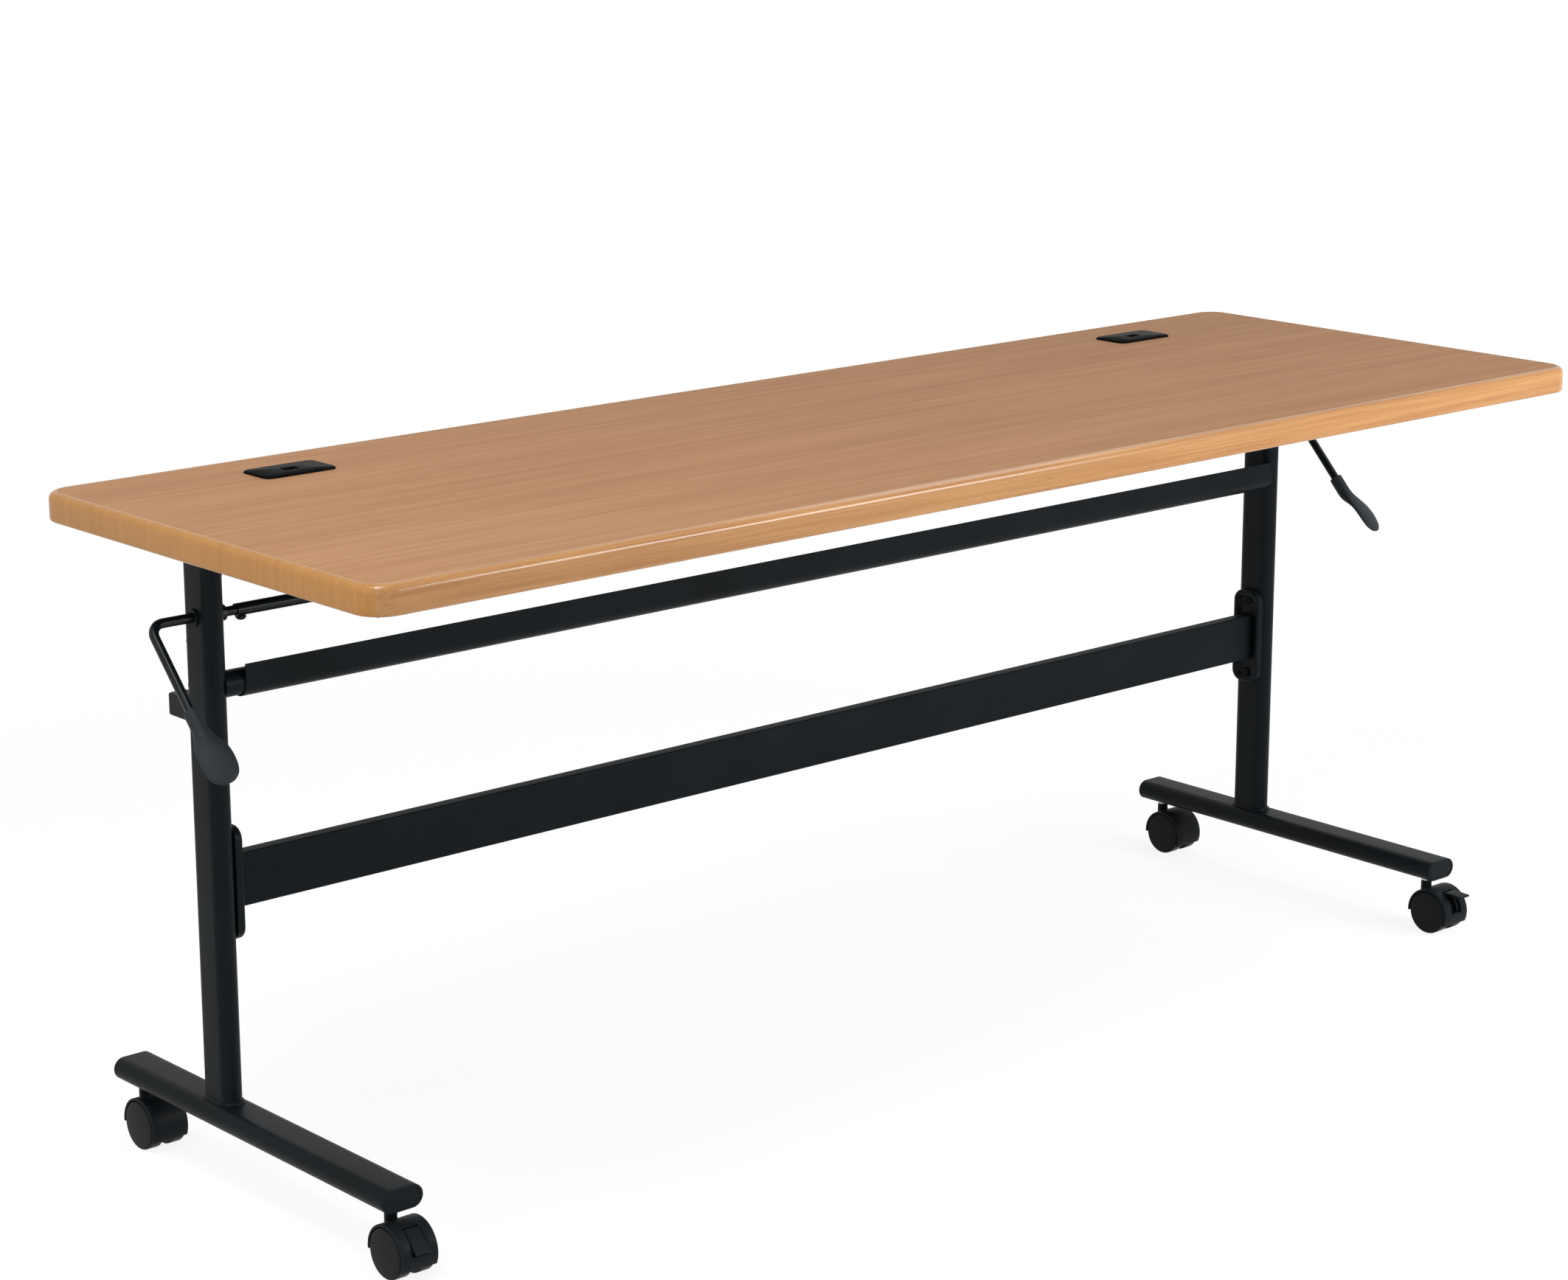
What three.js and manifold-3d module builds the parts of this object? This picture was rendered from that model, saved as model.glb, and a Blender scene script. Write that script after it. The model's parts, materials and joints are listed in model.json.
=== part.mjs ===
import * as THREE from 'three';
import { mergeVertices } from 'three/addons/utils/BufferGeometryUtils.js';
import Module from 'manifold-3d';

const wasm = await Module();
wasm.setup();

// Flip top training table. Millimetres and degrees: X along the table, Y to its back, Z up.
// Distances "ahead" and "behind" are along Y, from the middle of the top or from a leg's centre.

// Gap left between pieces that touch, and sides of a full round
const FIT = 0.3;
const ROUND_SIDES = 16;

// Table top
const TOP_LENGTH = 1828.8;
const TOP_DEPTH = 609.6;
const TOP_HEIGHT = 749.3;
const TOP_THICKNESS = 31.75;
const TOP_CORNER = 32;
const BAND_THICKNESS = 9;
const BAND_TOP_ROUND = 8;
const BAND_BOTTOM_ROUND = 4;

// Grommet covers
const GROMMET_LENGTH = 92;
const GROMMET_DEPTH = 53;
const GROMMET_CORNER = 9;
const GROMMET_PLATE = 2.5;
const GROMMET_BEVEL = 1.6;
const GROMMET_LIP = 5;
const GROMMET_WALL = 2;
const GROMMET_SKIRT = 24;
const GROMMET_HOLE = 20;
const GROMMET_INSET = 255.4;
const GROMMET_BACK_INSET = 93.8;

// Legs and feet, all of one flat-oval tube
const LEG_INSET = 88.4;
const LEG_BACK_INSET = 176.8;
const OVAL_WIDE = 50.8;
const OVAL_SLIM = 25.4;
const OVAL_WALL = 2;
const WELD_SIZE = 3;
const FOOT_FRONT_INSET = 103.8;
const FOOT_BACK_PASS = 8.2;
const CAP_PLATE = 4;
const CAP_PLUG = 12;
const CAP_BEVEL = 1.4;

// Casters
const CASTER_HEIGHT = 69.3;
const STEM_INSET = 23;
const STEM_RADIUS = 5.2;
const STEM_LOWER_RADIUS = 4;
const STEM_DEPTH = 11;
const NECK_HEIGHT = 9;
const NECK_RADIUS = 6.5;
const TRAIL = 20;
const WHEEL_RADIUS = 27.5;
const WHEEL_WIDTH = 17;
const WHEEL_GAP = 12;
const WHEEL_BORE_DEPTH = 12.5;
const AXLE_RADIUS = 3;
const HOOD_WIDTH = 44;
const HOOD_WALL = 3;
const HOOD_CLEAR = 0.8;
const HOOD_HUB = 8;
const HOOD_BOSS = 7;
const HOOD_BACK_ANGLE = -5;
const HOOD_FRONT_ANGLE = 215;
const PEDAL_WIDTH = 14;
const PEDAL_TRAVEL = 20;
const PEDAL_PIN = 1;

// Cross tube and the wire trough hung on it
const CROSS_TUBE_RADIUS = 14.3;
const CROSS_TUBE_WALL = 2;
const CROSS_TUBE_DROP = 73.7;
const CROSS_TUBE_AHEAD = 12;
const CROSS_TUBE_COPE = 5;
const TROUGH_SHEET = 1.5;
const TROUGH_FRONT_RISE = 21.8;
const TROUGH_BACK_WALL = 15;
const TROUGH_BACK = 45;
const TROUGH_FOLD = 6;
const TROUGH_LEFT_GAP = 17.5;

// Lower crossbar and its dished brackets
const BAR_HEIGHT = 60;
const BAR_THICKNESS = 18;
const BAR_WALL = 1.5;
const BAR_CORNER = 2.5;
const BAR_MIDDLE = 338;
const DISH_HEIGHT = 126;
const DISH_WIDTH = 44;
const DISH_CORNER = 15;
const DISH_DEPTH = 10;
const DISH_FLOOR = 5;
const DISH_RIM = 4;
const DISH_SLOPE = 3;
const DISH_SCREW_SPACING = 99;

// Link block on the left leg
const LINK_DROP = 42.8;
const LINK_BLOCK_HEIGHT = 24;
const LINK_BLOCK_REACH = 60;
const LINK_BLOCK_WIDTH = 24;
const LINK_LOW_SCREW = 37;
const LINK_HIGH_SCREW = 85;

// Screws
const SCREW_HEAD_RADIUS = 6;
const SCREW_HEAD_HEIGHT = 4.5;
const SCREW_RADIUS = 2.5;
const SCREW_ROOT = 1;
const SCREW_SEAT = 0.8;

// Flip pivot, leg heads and the steelwork under the top
const PIVOT_DROP = 14.5;
const PIVOT_BEHIND = 27;
const PIVOT_BOLT_RADIUS = 4;
const PIVOT_HEAD_RADIUS = 7;
const PIVOT_HEAD_HEIGHT = 5;
const PIVOT_NUT_HEIGHT = 6;
const LEG_END_DROP = 27.5;
const HEAD_PLUG = 40;
const HEAD_CHAMFER = 10;
const BRACKET_SHEET = 3;
const BRACKET_GAP = 1;
const BRACKET_AHEAD = 68;
const BRACKET_BEHIND = 87;
const BRACKET_DEPTH = 29;
const BRACKET_CHAMFER = 18;
const ARM_FRONT_INSET = 86.8;
const ARM_END_GAP = 7.6;
const ARM_DEPTH = 26.7;
const ARM_WALL = 2.5;
const ARM_BEVEL = 14;
const STIFFENER_LENGTH = 834;
const STIFFENER_WIDTH = 29;
const STIFFENER_DEPTH = 15;
const STIFFENER_WALL = 2;
const STIFFENER_AHEAD = 70;

// Release shaft, latch and levers
const RELEASE_DROP = 87.05;
const ROD_RADIUS = 5.25;
const RELEASE_WALL = 1.3;
const RELEASE_END_GAP = 25.3;
const ROD_INSERT = 40;
const SET_SCREW_INSET = 6.5;
const BUSH_RADIUS = 7;
const BUSH_FLANGE = 9.5;
const BUSH_FLANGE_THICKNESS = 2;
const LATCH_THICKNESS = 4;
const LATCH_CLEAR = 2.36;
const LATCH_PAST_NOTCH = 20;
const LATCH_BEFORE_NOTCH = 6;
const LATCH_LOBE = 12;
const LATCH_WAIST = 38;
const LATCH_WAIST_ANGLE = 39;
const LATCH_TOP_AHEAD = 40;
const NOTCH_DEPTH = 5;
const TOOTH_PAST_SHAFT = 18.4;
const TOOTH_DEPTH = 4.4;
const TOOTH_TIP = 4.4;
const TOOTH_ROOT = 6.8;
const TOOTH_LENGTH = 7.4;
const PAWL_HUB_RADIUS = 9;
const PAWL_HUB_WIDTH = 10;
const RELEASE_TRAVEL = 12;
const FLIP_TRAVEL = 90;
const LEVER_OUT = 54;
const LEVER_BEND = 16;
const LEVER_DROP_ANGLE = 46.5;
const GRIP_START = 106;
const GRIP_LENGTH = 92;
const GRIP_SOCKET = 23;
const GRIP_TWIST = 75;
const GRIP_SLEEVE = 16.4;
const PADDLE_WIDTH = 38;
const PADDLE_THICKNESS = 10;
const PADDLE_OFFSET = 9.5;

// Return spring in the left leg
const SPRING_WIRE = 0.8;
const SPRING_PITCH = 2.6;
const SPRING_TURNS = 4;
const SPRING_STEPS = 8;

// Positions that follow from the sizes
const UNDERSIDE = TOP_HEIGHT - TOP_THICKNESS;
const LEG_X = TOP_LENGTH / 2 - LEG_INSET;
const LEG_BEHIND = TOP_DEPTH / 2 - LEG_BACK_INSET;
const OVAL_HALF = OVAL_SLIM / 2;
const LEG_FRONT = LEG_BEHIND - OVAL_WIDE / 2;
const LEG_BACK = LEG_BEHIND + OVAL_WIDE / 2;
const LEG_END = UNDERSIDE - LEG_END_DROP;
const FOOT_FRONT = FOOT_FRONT_INSET - TOP_DEPTH / 2;
const FOOT_BACK = TOP_DEPTH / 2 + FOOT_BACK_PASS;
const FOOT_MIDDLE = CASTER_HEIGHT + OVAL_HALF;
const FOOT_TOP = CASTER_HEIGHT + OVAL_SLIM;
const MIDDLE_Y = (FOOT_BACK - TOP_DEPTH / 2) / 2;
const INNER_FACE = LEG_X - OVAL_HALF;
const CROSS_TUBE_Y = LEG_BEHIND - CROSS_TUBE_AHEAD;
const TROUGH_INSIDE = CROSS_TUBE_RADIUS + FIT;
const TROUGH_OUTSIDE = TROUGH_INSIDE + TROUGH_SHEET;
const RELEASE_HEIGHT = UNDERSIDE - RELEASE_DROP;
const CROSS_TUBE_HEIGHT = RELEASE_HEIGHT - CROSS_TUBE_DROP;
const LINK_BOTTOM = CROSS_TUBE_HEIGHT - LINK_DROP;
const PIVOT = new THREE.Vector2(LEG_BEHIND + PIVOT_BEHIND, UNDERSIDE - PIVOT_DROP);
const RELEASE = new THREE.Vector2(LEG_BEHIND, RELEASE_HEIGHT);
const SHAFT_REACH = PIVOT.distanceTo(RELEASE);
const SHAFT_ANGLE = RELEASE.clone().sub(PIVOT).angle() * 180 / Math.PI;
const TOOTH_ANGLE = SHAFT_ANGLE + TOOTH_PAST_SHAFT;
const LATCH_RADIUS = SHAFT_REACH - PAWL_HUB_RADIUS - LATCH_CLEAR;
const RELEASE_RADIUS = ROD_RADIUS + FIT + RELEASE_WALL;
const RELEASE_END = INNER_FACE - RELEASE_END_GAP;
const SET_SCREW_X = RELEASE_END - SET_SCREW_INSET;
const FIXING_TOP = UNDERSIDE - FIT;
const WEB_BOTTOM = FIXING_TOP - BRACKET_SHEET;
const CHEEK_INSIDE = OVAL_HALF + BRACKET_GAP;
const CHEEK_OUTSIDE = CHEEK_INSIDE + BRACKET_SHEET;
const LATCH_NEAR = CHEEK_OUTSIDE + FIT;
const LATCH_FAR = LATCH_NEAR + LATCH_THICKNESS;
const ARM_FRONT = ARM_FRONT_INSET - TOP_DEPTH / 2;
const ARM_BACK = LEG_FRONT - ARM_END_GAP;
const WEB_FRONT = ARM_BACK + FIT;
const BRACKET_BACK = LEG_BEHIND + BRACKET_BEHIND;
const BEND = new THREE.Vector3(LEG_X + OVAL_HALF + LEVER_OUT, RELEASE.x, RELEASE.y);
const GROMMET_BEHIND = TOP_DEPTH / 2 - GROMMET_BACK_INSET;
const GROMMET_X = TOP_LENGTH / 2 - GROMMET_INSET;
const BOSS_TOP = CASTER_HEIGHT - NECK_HEIGHT;
const AXLE = new THREE.Vector2(-TRAIL, WHEEL_RADIUS);
const HOOD_RADIUS = WHEEL_RADIUS + HOOD_CLEAR + HOOD_WALL;
const STEM_FRONT = FOOT_FRONT + STEM_INSET;
const STEM_BACK = FOOT_BACK - STEM_INSET;

const AXIS_X = new THREE.Vector3(1, 0, 0);
const AXIS_Y = new THREE.Vector3(0, 1, 0);
const AXIS_Z = new THREE.Vector3(0, 0, 1);
const FAR = 2 * TOP_LENGTH;

function radians(degrees) {
  return degrees * Math.PI / 180;
}

// Welds a geometry's corners, drops its flat triangles and turns its faces outward.
function closed(geometry) {
  const bare = new THREE.BufferGeometry();
  bare.setAttribute('position', geometry.attributes.position.clone());
  bare.setIndex(geometry.index ? geometry.index.clone() : null);
  const welded = mergeVertices(bare, 1e-4);
  const at = welded.attributes.position;
  const [a, b, c] = [new THREE.Vector3(), new THREE.Vector3(), new THREE.Vector3()];
  const kept = [];
  let volume = 0;
  for (let i = 0; i < welded.index.count; i += 3) {
    const corners = [0, 1, 2].map((k) => welded.index.getX(i + k));
    if (new Set(corners).size < 3) continue;
    a.fromBufferAttribute(at, corners[0]);
    b.fromBufferAttribute(at, corners[1]);
    c.fromBufferAttribute(at, corners[2]);
    volume += a.dot(b.cross(c));
    kept.push(...corners);
  }
  welded.setIndex(volume < 0 ? kept.reverse() : kept);
  return welded;
}

function solidOf(geometry) {
  const bare = closed(geometry);
  const vertProperties = Float32Array.from(bare.attributes.position.array);
  const triVerts = Uint32Array.from(bare.index.array);
  return new wasm.Manifold(new wasm.Mesh({ numProp: 3, vertProperties, triVerts }));
}

function geometryOf(solid) {
  const mesh = solid.getMesh();
  const geometry = new THREE.BufferGeometry();
  geometry.setAttribute('position', new THREE.BufferAttribute(mesh.vertProperties, 3));
  geometry.setIndex(new THREE.BufferAttribute(mesh.triVerts, 1));
  return geometry;
}

function join(first, ...others) {
  return geometryOf(others.reduce((sum, each) => sum.add(solidOf(each)), solidOf(first)));
}

function cut(body, ...tools) {
  return geometryOf(tools.reduce((rest, each) => rest.subtract(solidOf(each)), solidOf(body)));
}

function mirrored(geometry) {
  return closed(geometry.clone().scale(-1, 1, 1));
}

// Prisms: a shape drawn in Y and Z runs along X, and one drawn in X and Y along Z.
function prism(shape, length, turn) {
  const settings = { depth: length, bevelEnabled: false, curveSegments: ROUND_SIDES / 2 };
  return new THREE.ExtrudeGeometry(shape, settings).applyMatrix4(turn);
}

function prismX(shape, low, high) {
  const turn = new THREE.Matrix4().makeBasis(AXIS_Y, AXIS_Z, AXIS_X);
  return prism(shape, high - low, turn).translate(low, 0, 0);
}

function prismZ(shape, low, high) {
  return prism(shape, high - low, new THREE.Matrix4()).translate(0, 0, low);
}

function block(x, y, z) {
  const [width, depth, height] = [x, y, z].map((range) => range[1] - range[0]);
  const [midX, midY, midZ] = [x, y, z].map((range) => (range[0] + range[1]) / 2);
  return new THREE.BoxGeometry(width, depth, height).translate(midX, midY, midZ);
}

function pinX(radius, low, high, y, z, sides = ROUND_SIDES) {
  const pin = new THREE.CylinderGeometry(radius, radius, high - low, sides).rotateZ(-Math.PI / 2);
  return pin.translate((low + high) / 2, y, z);
}

function pinZ(radius, low, high, x, y, sides = ROUND_SIDES) {
  const pin = new THREE.CylinderGeometry(radius, radius, high - low, sides).rotateX(Math.PI / 2);
  return pin.translate(x, y, (low + high) / 2);
}

// Turned solid from pairs of radius and height, standing along Z or lying along X.
function turned(pairs, sides = ROUND_SIDES) {
  const profile = pairs.map(([radius, height]) => new THREE.Vector2(radius, height));
  return new THREE.LatheGeometry(profile, sides).rotateX(Math.PI / 2);
}

function turnedX(pairs, sides = ROUND_SIDES) {
  return turned(pairs, sides).rotateY(Math.PI / 2);
}

function roundedRectangle(width, height, radius, steps = 5) {
  const points = [];
  [[1, 1], [-1, 1], [-1, -1], [1, -1]].forEach(([sideX, sideY], quarter) => {
    for (let i = 0; i <= steps; i++) {
      const angle = (quarter + i / steps) * Math.PI / 2;
      const x = sideX * (width / 2 - radius) + radius * Math.cos(angle);
      const y = sideY * (height / 2 - radius) + radius * Math.sin(angle);
      const last = points[points.length - 1];
      const first = points[0];
      const apart = [last, first].every((point) => !point || Math.hypot(point.x - x, point.y - y) > 1e-6);
      if (apart) points.push(new THREE.Vector2(x, y));
    }
  });
  return points;
}

// Flat oval, upright for a leg (wide along Y) and lying for a foot (wide along X).
function legOutline(grow) {
  return roundedRectangle(OVAL_SLIM + 2 * grow, OVAL_WIDE + 2 * grow, OVAL_HALF + grow);
}

function footOutline(grow) {
  return roundedRectangle(OVAL_WIDE + 2 * grow, OVAL_SLIM + 2 * grow, OVAL_HALF + grow);
}

// Skin through rings of equally many points, capped at both ends unless it closes on itself.
function loft(rings, loop = false) {
  const count = rings[0].length;
  const corners = [];
  const spans = loop ? rings.length : rings.length - 1;
  for (let i = 0; i < spans; i++) {
    const here = i * count;
    const next = ((i + 1) % rings.length) * count;
    for (let j = 0; j < count; j++) {
      const k = (j + 1) % count;
      corners.push(here + j, here + k, next + k, here + j, next + k, next + j);
    }
  }
  const last = (rings.length - 1) * count;
  for (let j = 1; j < count - 1 && !loop; j++) {
    corners.push(0, j + 1, j, last, last + j, last + j + 1);
  }
  const geometry = new THREE.BufferGeometry().setFromPoints(rings.flat());
  geometry.setIndex(corners);
  return closed(geometry);
}

function polar(centre, radius, degrees) {
  const angle = radians(degrees);
  return new THREE.Vector2(centre.x + radius * Math.cos(angle), centre.y + radius * Math.sin(angle));
}

// Round screw head on a shank: seat is the centre of its underside, facing the way the head points.
function screw(seat, facing, radius, length) {
  const pairs = [
    [0, -length],
    [radius, -length],
    [radius, 0],
    [SCREW_HEAD_RADIUS, 0],
    [SCREW_HEAD_RADIUS * 0.92, SCREW_HEAD_HEIGHT * 0.5],
    [SCREW_HEAD_RADIUS * 0.6, SCREW_HEAD_HEIGHT * 0.88],
    [0, SCREW_HEAD_HEIGHT],
  ];
  const turn = new THREE.Quaternion().setFromUnitVectors(AXIS_Z, facing);
  return turned(pairs, 12).applyQuaternion(turn).translate(seat.x, seat.y, seat.z);
}

// Table top, its edge band and grommet covers
function tableTop() {
  const inset = 2 * (BAND_THICKNESS + FIT);
  const corner = TOP_CORNER - BAND_THICKNESS - FIT;
  const outline = new THREE.Shape(roundedRectangle(TOP_LENGTH - inset, TOP_DEPTH - inset, corner));
  const length = GROMMET_LENGTH - 2 * GROMMET_LIP;
  const depth = GROMMET_DEPTH - 2 * GROMMET_LIP;
  for (const side of [-1, 1]) {
    const middle = new THREE.Vector2(side * GROMMET_X, GROMMET_BEHIND);
    const edge = roundedRectangle(length, depth, GROMMET_CORNER - GROMMET_LIP / 2);
    outline.holes.push(new THREE.Path(edge.map((point) => point.add(middle))));
  }
  return prismZ(outline, UNDERSIDE, TOP_HEIGHT);
}

function edgeBand() {
  const section = [[BAND_THICKNESS, UNDERSIDE]];
  for (const degrees of [0, 45, 90]) {
    const inset = BAND_BOTTOM_ROUND * (1 - Math.sin(radians(degrees)));
    section.push([inset, UNDERSIDE + BAND_BOTTOM_ROUND * (1 - Math.cos(radians(degrees)))]);
  }
  for (const degrees of [0, 22.5, 45, 67.5, 90]) {
    const inset = BAND_TOP_ROUND * (1 - Math.cos(radians(degrees)));
    section.push([inset, TOP_HEIGHT - BAND_TOP_ROUND * (1 - Math.sin(radians(degrees)))]);
  }
  section.push([BAND_THICKNESS, TOP_HEIGHT]);
  const rings = section.map(([inset, z]) => {
    const edge = roundedRectangle(TOP_LENGTH - 2 * inset, TOP_DEPTH - 2 * inset, TOP_CORNER - inset);
    return edge.map((point) => new THREE.Vector3(point.x, point.y, z));
  });
  return loft(rings, true);
}

function grommetCover() {
  const place = (grow, z) => {
    const length = GROMMET_LENGTH + 2 * grow;
    const depth = GROMMET_DEPTH + 2 * grow;
    const edge = roundedRectangle(length, depth, GROMMET_CORNER + grow / 2, 4);
    return edge.map((point) => new THREE.Vector3(GROMMET_X + point.x, GROMMET_BEHIND + point.y, z));
  };
  const bottom = TOP_HEIGHT - GROMMET_SKIRT;
  const seat = TOP_HEIGHT + FIT;
  const skirt = -GROMMET_LIP - FIT;
  const top = seat + GROMMET_PLATE;
  const body = loft([
    place(skirt, bottom),
    place(skirt, seat),
    place(0, seat),
    place(0, top - GROMMET_BEVEL),
    place(-GROMMET_BEVEL, top),
  ]);
  const hollow = loft([place(skirt - GROMMET_WALL, bottom - 1), place(skirt - GROMMET_WALL, seat)]);
  const hole = pinZ(GROMMET_HOLE / 2, bottom, top + 1, GROMMET_X, GROMMET_BEHIND);
  return cut(body, hollow, hole);
}

// Legs, feet and end caps
function legRing(grow, z) {
  return legOutline(grow).map((point) => new THREE.Vector3(LEG_X + point.x, LEG_BEHIND + point.y, z));
}

function legEnvelope() {
  return loft([legRing(FIT, 0), legRing(FIT, TOP_HEIGHT)]);
}

function leg() {
  const bottom = FOOT_TOP + FIT;
  const tube = loft([
    legRing(WELD_SIZE, bottom),
    legRing(0, bottom + WELD_SIZE),
    legRing(0, LEG_END),
    legRing(-OVAL_WALL, LEG_END),
    legRing(-OVAL_WALL, bottom),
  ], true);
  const bushHole = pinX(BUSH_RADIUS + FIT, 0, FAR, RELEASE.x, RELEASE.y);
  return cut(tube, bushHole);
}

// Domed screws in the back of the left leg, above the link block
function linkScrews() {
  return [LINK_LOW_SCREW, LINK_HIGH_SCREW].map((height) => {
    const seat = new THREE.Vector3(-LEG_X, LEG_BACK - SCREW_SEAT, LINK_BOTTOM + height);
    return screw(seat, AXIS_Y, SCREW_RADIUS, SCREW_ROOT);
  });
}

function footRing(grow, y) {
  return footOutline(grow).map((point) => new THREE.Vector3(LEG_X + point.x, y, FOOT_MIDDLE + point.y));
}

function foot() {
  const front = FOOT_FRONT + CAP_PLATE + FIT;
  const back = FOOT_BACK - CAP_PLATE - FIT;
  const rings = [
    footRing(0, front),
    footRing(0, back),
    footRing(-OVAL_WALL, back),
    footRing(-OVAL_WALL, front),
  ];
  const holes = [STEM_FRONT, STEM_BACK].map((y) => {
    return pinZ(STEM_RADIUS + FIT, CASTER_HEIGHT - 1, FOOT_MIDDLE, LEG_X, y, 12);
  });
  return cut(loft(rings, true), ...holes);
}

// Cap at the end of a foot that lies toward the given side of Y
function footCap(end, side) {
  const seat = end - side * CAP_PLATE;
  return loft([
    footRing(-OVAL_WALL - FIT, seat - side * CAP_PLUG),
    footRing(-OVAL_WALL - FIT, seat),
    footRing(0, seat),
    footRing(0, end - side * CAP_BEVEL),
    footRing(-CAP_BEVEL, end),
  ]);
}

// Cross tube and wire trough
function crossTube() {
  const end = INNER_FACE + CROSS_TUBE_COPE;
  const outline = new THREE.Shape();
  outline.absarc(CROSS_TUBE_Y, CROSS_TUBE_HEIGHT, CROSS_TUBE_RADIUS, 0, 2 * Math.PI);
  const bore = new THREE.Path();
  bore.absarc(CROSS_TUBE_Y, CROSS_TUBE_HEIGHT, CROSS_TUBE_RADIUS - CROSS_TUBE_WALL, 0, 2 * Math.PI);
  outline.holes.push(bore);
  const envelope = legEnvelope();
  return cut(prismX(outline, -end, end), envelope, mirrored(envelope));
}

// Folded sheet: a front wall tangent to the tube, a round under it, a floor and a back wall
function wireTrough() {
  const frontTop = CROSS_TUBE_HEIGHT + TROUGH_FRONT_RISE;
  const backTop = CROSS_TUBE_HEIGHT - TROUGH_OUTSIDE + TROUGH_BACK_WALL;
  const back = CROSS_TUBE_Y + TROUGH_BACK;
  const foldZ = CROSS_TUBE_HEIGHT - TROUGH_OUTSIDE + TROUGH_FOLD;
  const foldY = back - TROUGH_FOLD;
  const outline = new THREE.Shape();
  outline.moveTo(CROSS_TUBE_Y - TROUGH_OUTSIDE, frontTop);
  outline.absarc(CROSS_TUBE_Y, CROSS_TUBE_HEIGHT, TROUGH_OUTSIDE, Math.PI, 1.5 * Math.PI, false);
  outline.absarc(foldY, foldZ, TROUGH_FOLD, 1.5 * Math.PI, 2 * Math.PI, false);
  outline.lineTo(back, backTop);
  outline.lineTo(back - TROUGH_SHEET, backTop);
  outline.absarc(foldY, foldZ, TROUGH_FOLD - TROUGH_SHEET, 2 * Math.PI, 1.5 * Math.PI, true);
  outline.absarc(CROSS_TUBE_Y, CROSS_TUBE_HEIGHT, TROUGH_INSIDE, 1.5 * Math.PI, Math.PI, true);
  outline.lineTo(CROSS_TUBE_Y - TROUGH_INSIDE, frontTop);
  const sheet = prismX(outline, TROUGH_LEFT_GAP - INNER_FACE, INNER_FACE - FIT);
  return cut(sheet, legEnvelope());
}

// Lower crossbar and its brackets
function lowerCrossbar() {
  const end = INNER_FACE - FIT - DISH_FLOOR - FIT;
  const ring = (grow, x) => {
    const edge = roundedRectangle(BAR_THICKNESS + 2 * grow, BAR_HEIGHT + 2 * grow, BAR_CORNER + grow, 3);
    return edge.map((point) => new THREE.Vector3(x, LEG_BEHIND + point.x, BAR_MIDDLE + point.y));
  };
  return loft([ring(0, -end), ring(0, end), ring(-BAR_WALL, end), ring(-BAR_WALL, -end)], true);
}

function crossbarBracket() {
  const face = INNER_FACE - FIT;
  const ring = (inset, depth) => {
    const corner = DISH_CORNER - inset;
    const edge = roundedRectangle(DISH_WIDTH - 2 * inset, DISH_HEIGHT - 2 * inset, corner, 5);
    return edge.map((point) => new THREE.Vector3(face - depth, LEG_BEHIND + point.x, BAR_MIDDLE + point.y));
  };
  const dish = loft([
    ring(0, 0),
    ring(0, DISH_DEPTH - DISH_SLOPE),
    ring(DISH_SLOPE, DISH_DEPTH),
    ring(DISH_SLOPE + DISH_RIM, DISH_DEPTH),
    ring(2 * DISH_SLOPE + DISH_RIM, DISH_FLOOR),
  ]);
  const inward = AXIS_X.clone().negate();
  const screws = [-1, 1].map((side) => {
    const z = BAR_MIDDLE + side * DISH_SCREW_SPACING / 2;
    return screw(new THREE.Vector3(face - DISH_FLOOR, LEG_BEHIND, z), inward, SCREW_RADIUS, SCREW_ROOT);
  });
  return join(dish, ...screws);
}

// Block on a tongue that saddles the back of the left leg
function linkBlock() {
  const width = [-LEG_X - LINK_BLOCK_WIDTH / 2, -LEG_X + LINK_BLOCK_WIDTH / 2];
  const reach = [LEG_BEHIND, LEG_BEHIND + LINK_BLOCK_REACH];
  const lump = block(width, reach, [LINK_BOTTOM, LINK_BOTTOM + LINK_BLOCK_HEIGHT]);
  return cut(lump, mirrored(legEnvelope()));
}

// Leg head: plug in the leg's end, stop for the top and a rear lug for the pivot bolt
function legHead() {
  const seat = LEG_END + FIT;
  const stop = WEB_BOTTOM - FIT;
  const lug = PIVOT.y - WEB_BOTTOM;
  const outline = new THREE.Shape();
  outline.moveTo(LEG_FRONT, seat);
  outline.lineTo(LEG_BACK, seat);
  outline.absarc(PIVOT.x, PIVOT.y, -lug - 0.5, radians(-60), radians(90), false);
  outline.lineTo(LEG_FRONT + HEAD_CHAMFER, stop);
  outline.lineTo(LEG_FRONT, stop - HEAD_CHAMFER);
  const top = prismX(outline, LEG_X - OVAL_HALF, LEG_X + OVAL_HALF);
  const plug = loft([legRing(-OVAL_WALL - FIT, LEG_END - HEAD_PLUG), legRing(-OVAL_WALL - FIT, seat + 1)]);
  return cut(join(top, plug), pinX(PIVOT_BOLT_RADIUS + FIT, 0, FAR, PIVOT.x, PIVOT.y));
}

function pivotBolt() {
  const nut = LATCH_FAR + FIT;
  const head = CHEEK_OUTSIDE + FIT;
  const bolt = turnedX([
    [0, -nut - PIVOT_NUT_HEIGHT],
    [PIVOT_HEAD_RADIUS, -nut - PIVOT_NUT_HEIGHT],
    [PIVOT_HEAD_RADIUS, -nut],
    [PIVOT_BOLT_RADIUS, -nut],
    [PIVOT_BOLT_RADIUS, head],
    [PIVOT_HEAD_RADIUS, head],
    [PIVOT_HEAD_RADIUS, head + PIVOT_HEAD_HEIGHT * 0.6],
    [PIVOT_HEAD_RADIUS * 0.6, head + PIVOT_HEAD_HEIGHT],
    [0, head + PIVOT_HEAD_HEIGHT],
  ], 12);
  return bolt.translate(LEG_X, PIVOT.x, PIVOT.y);
}

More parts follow.
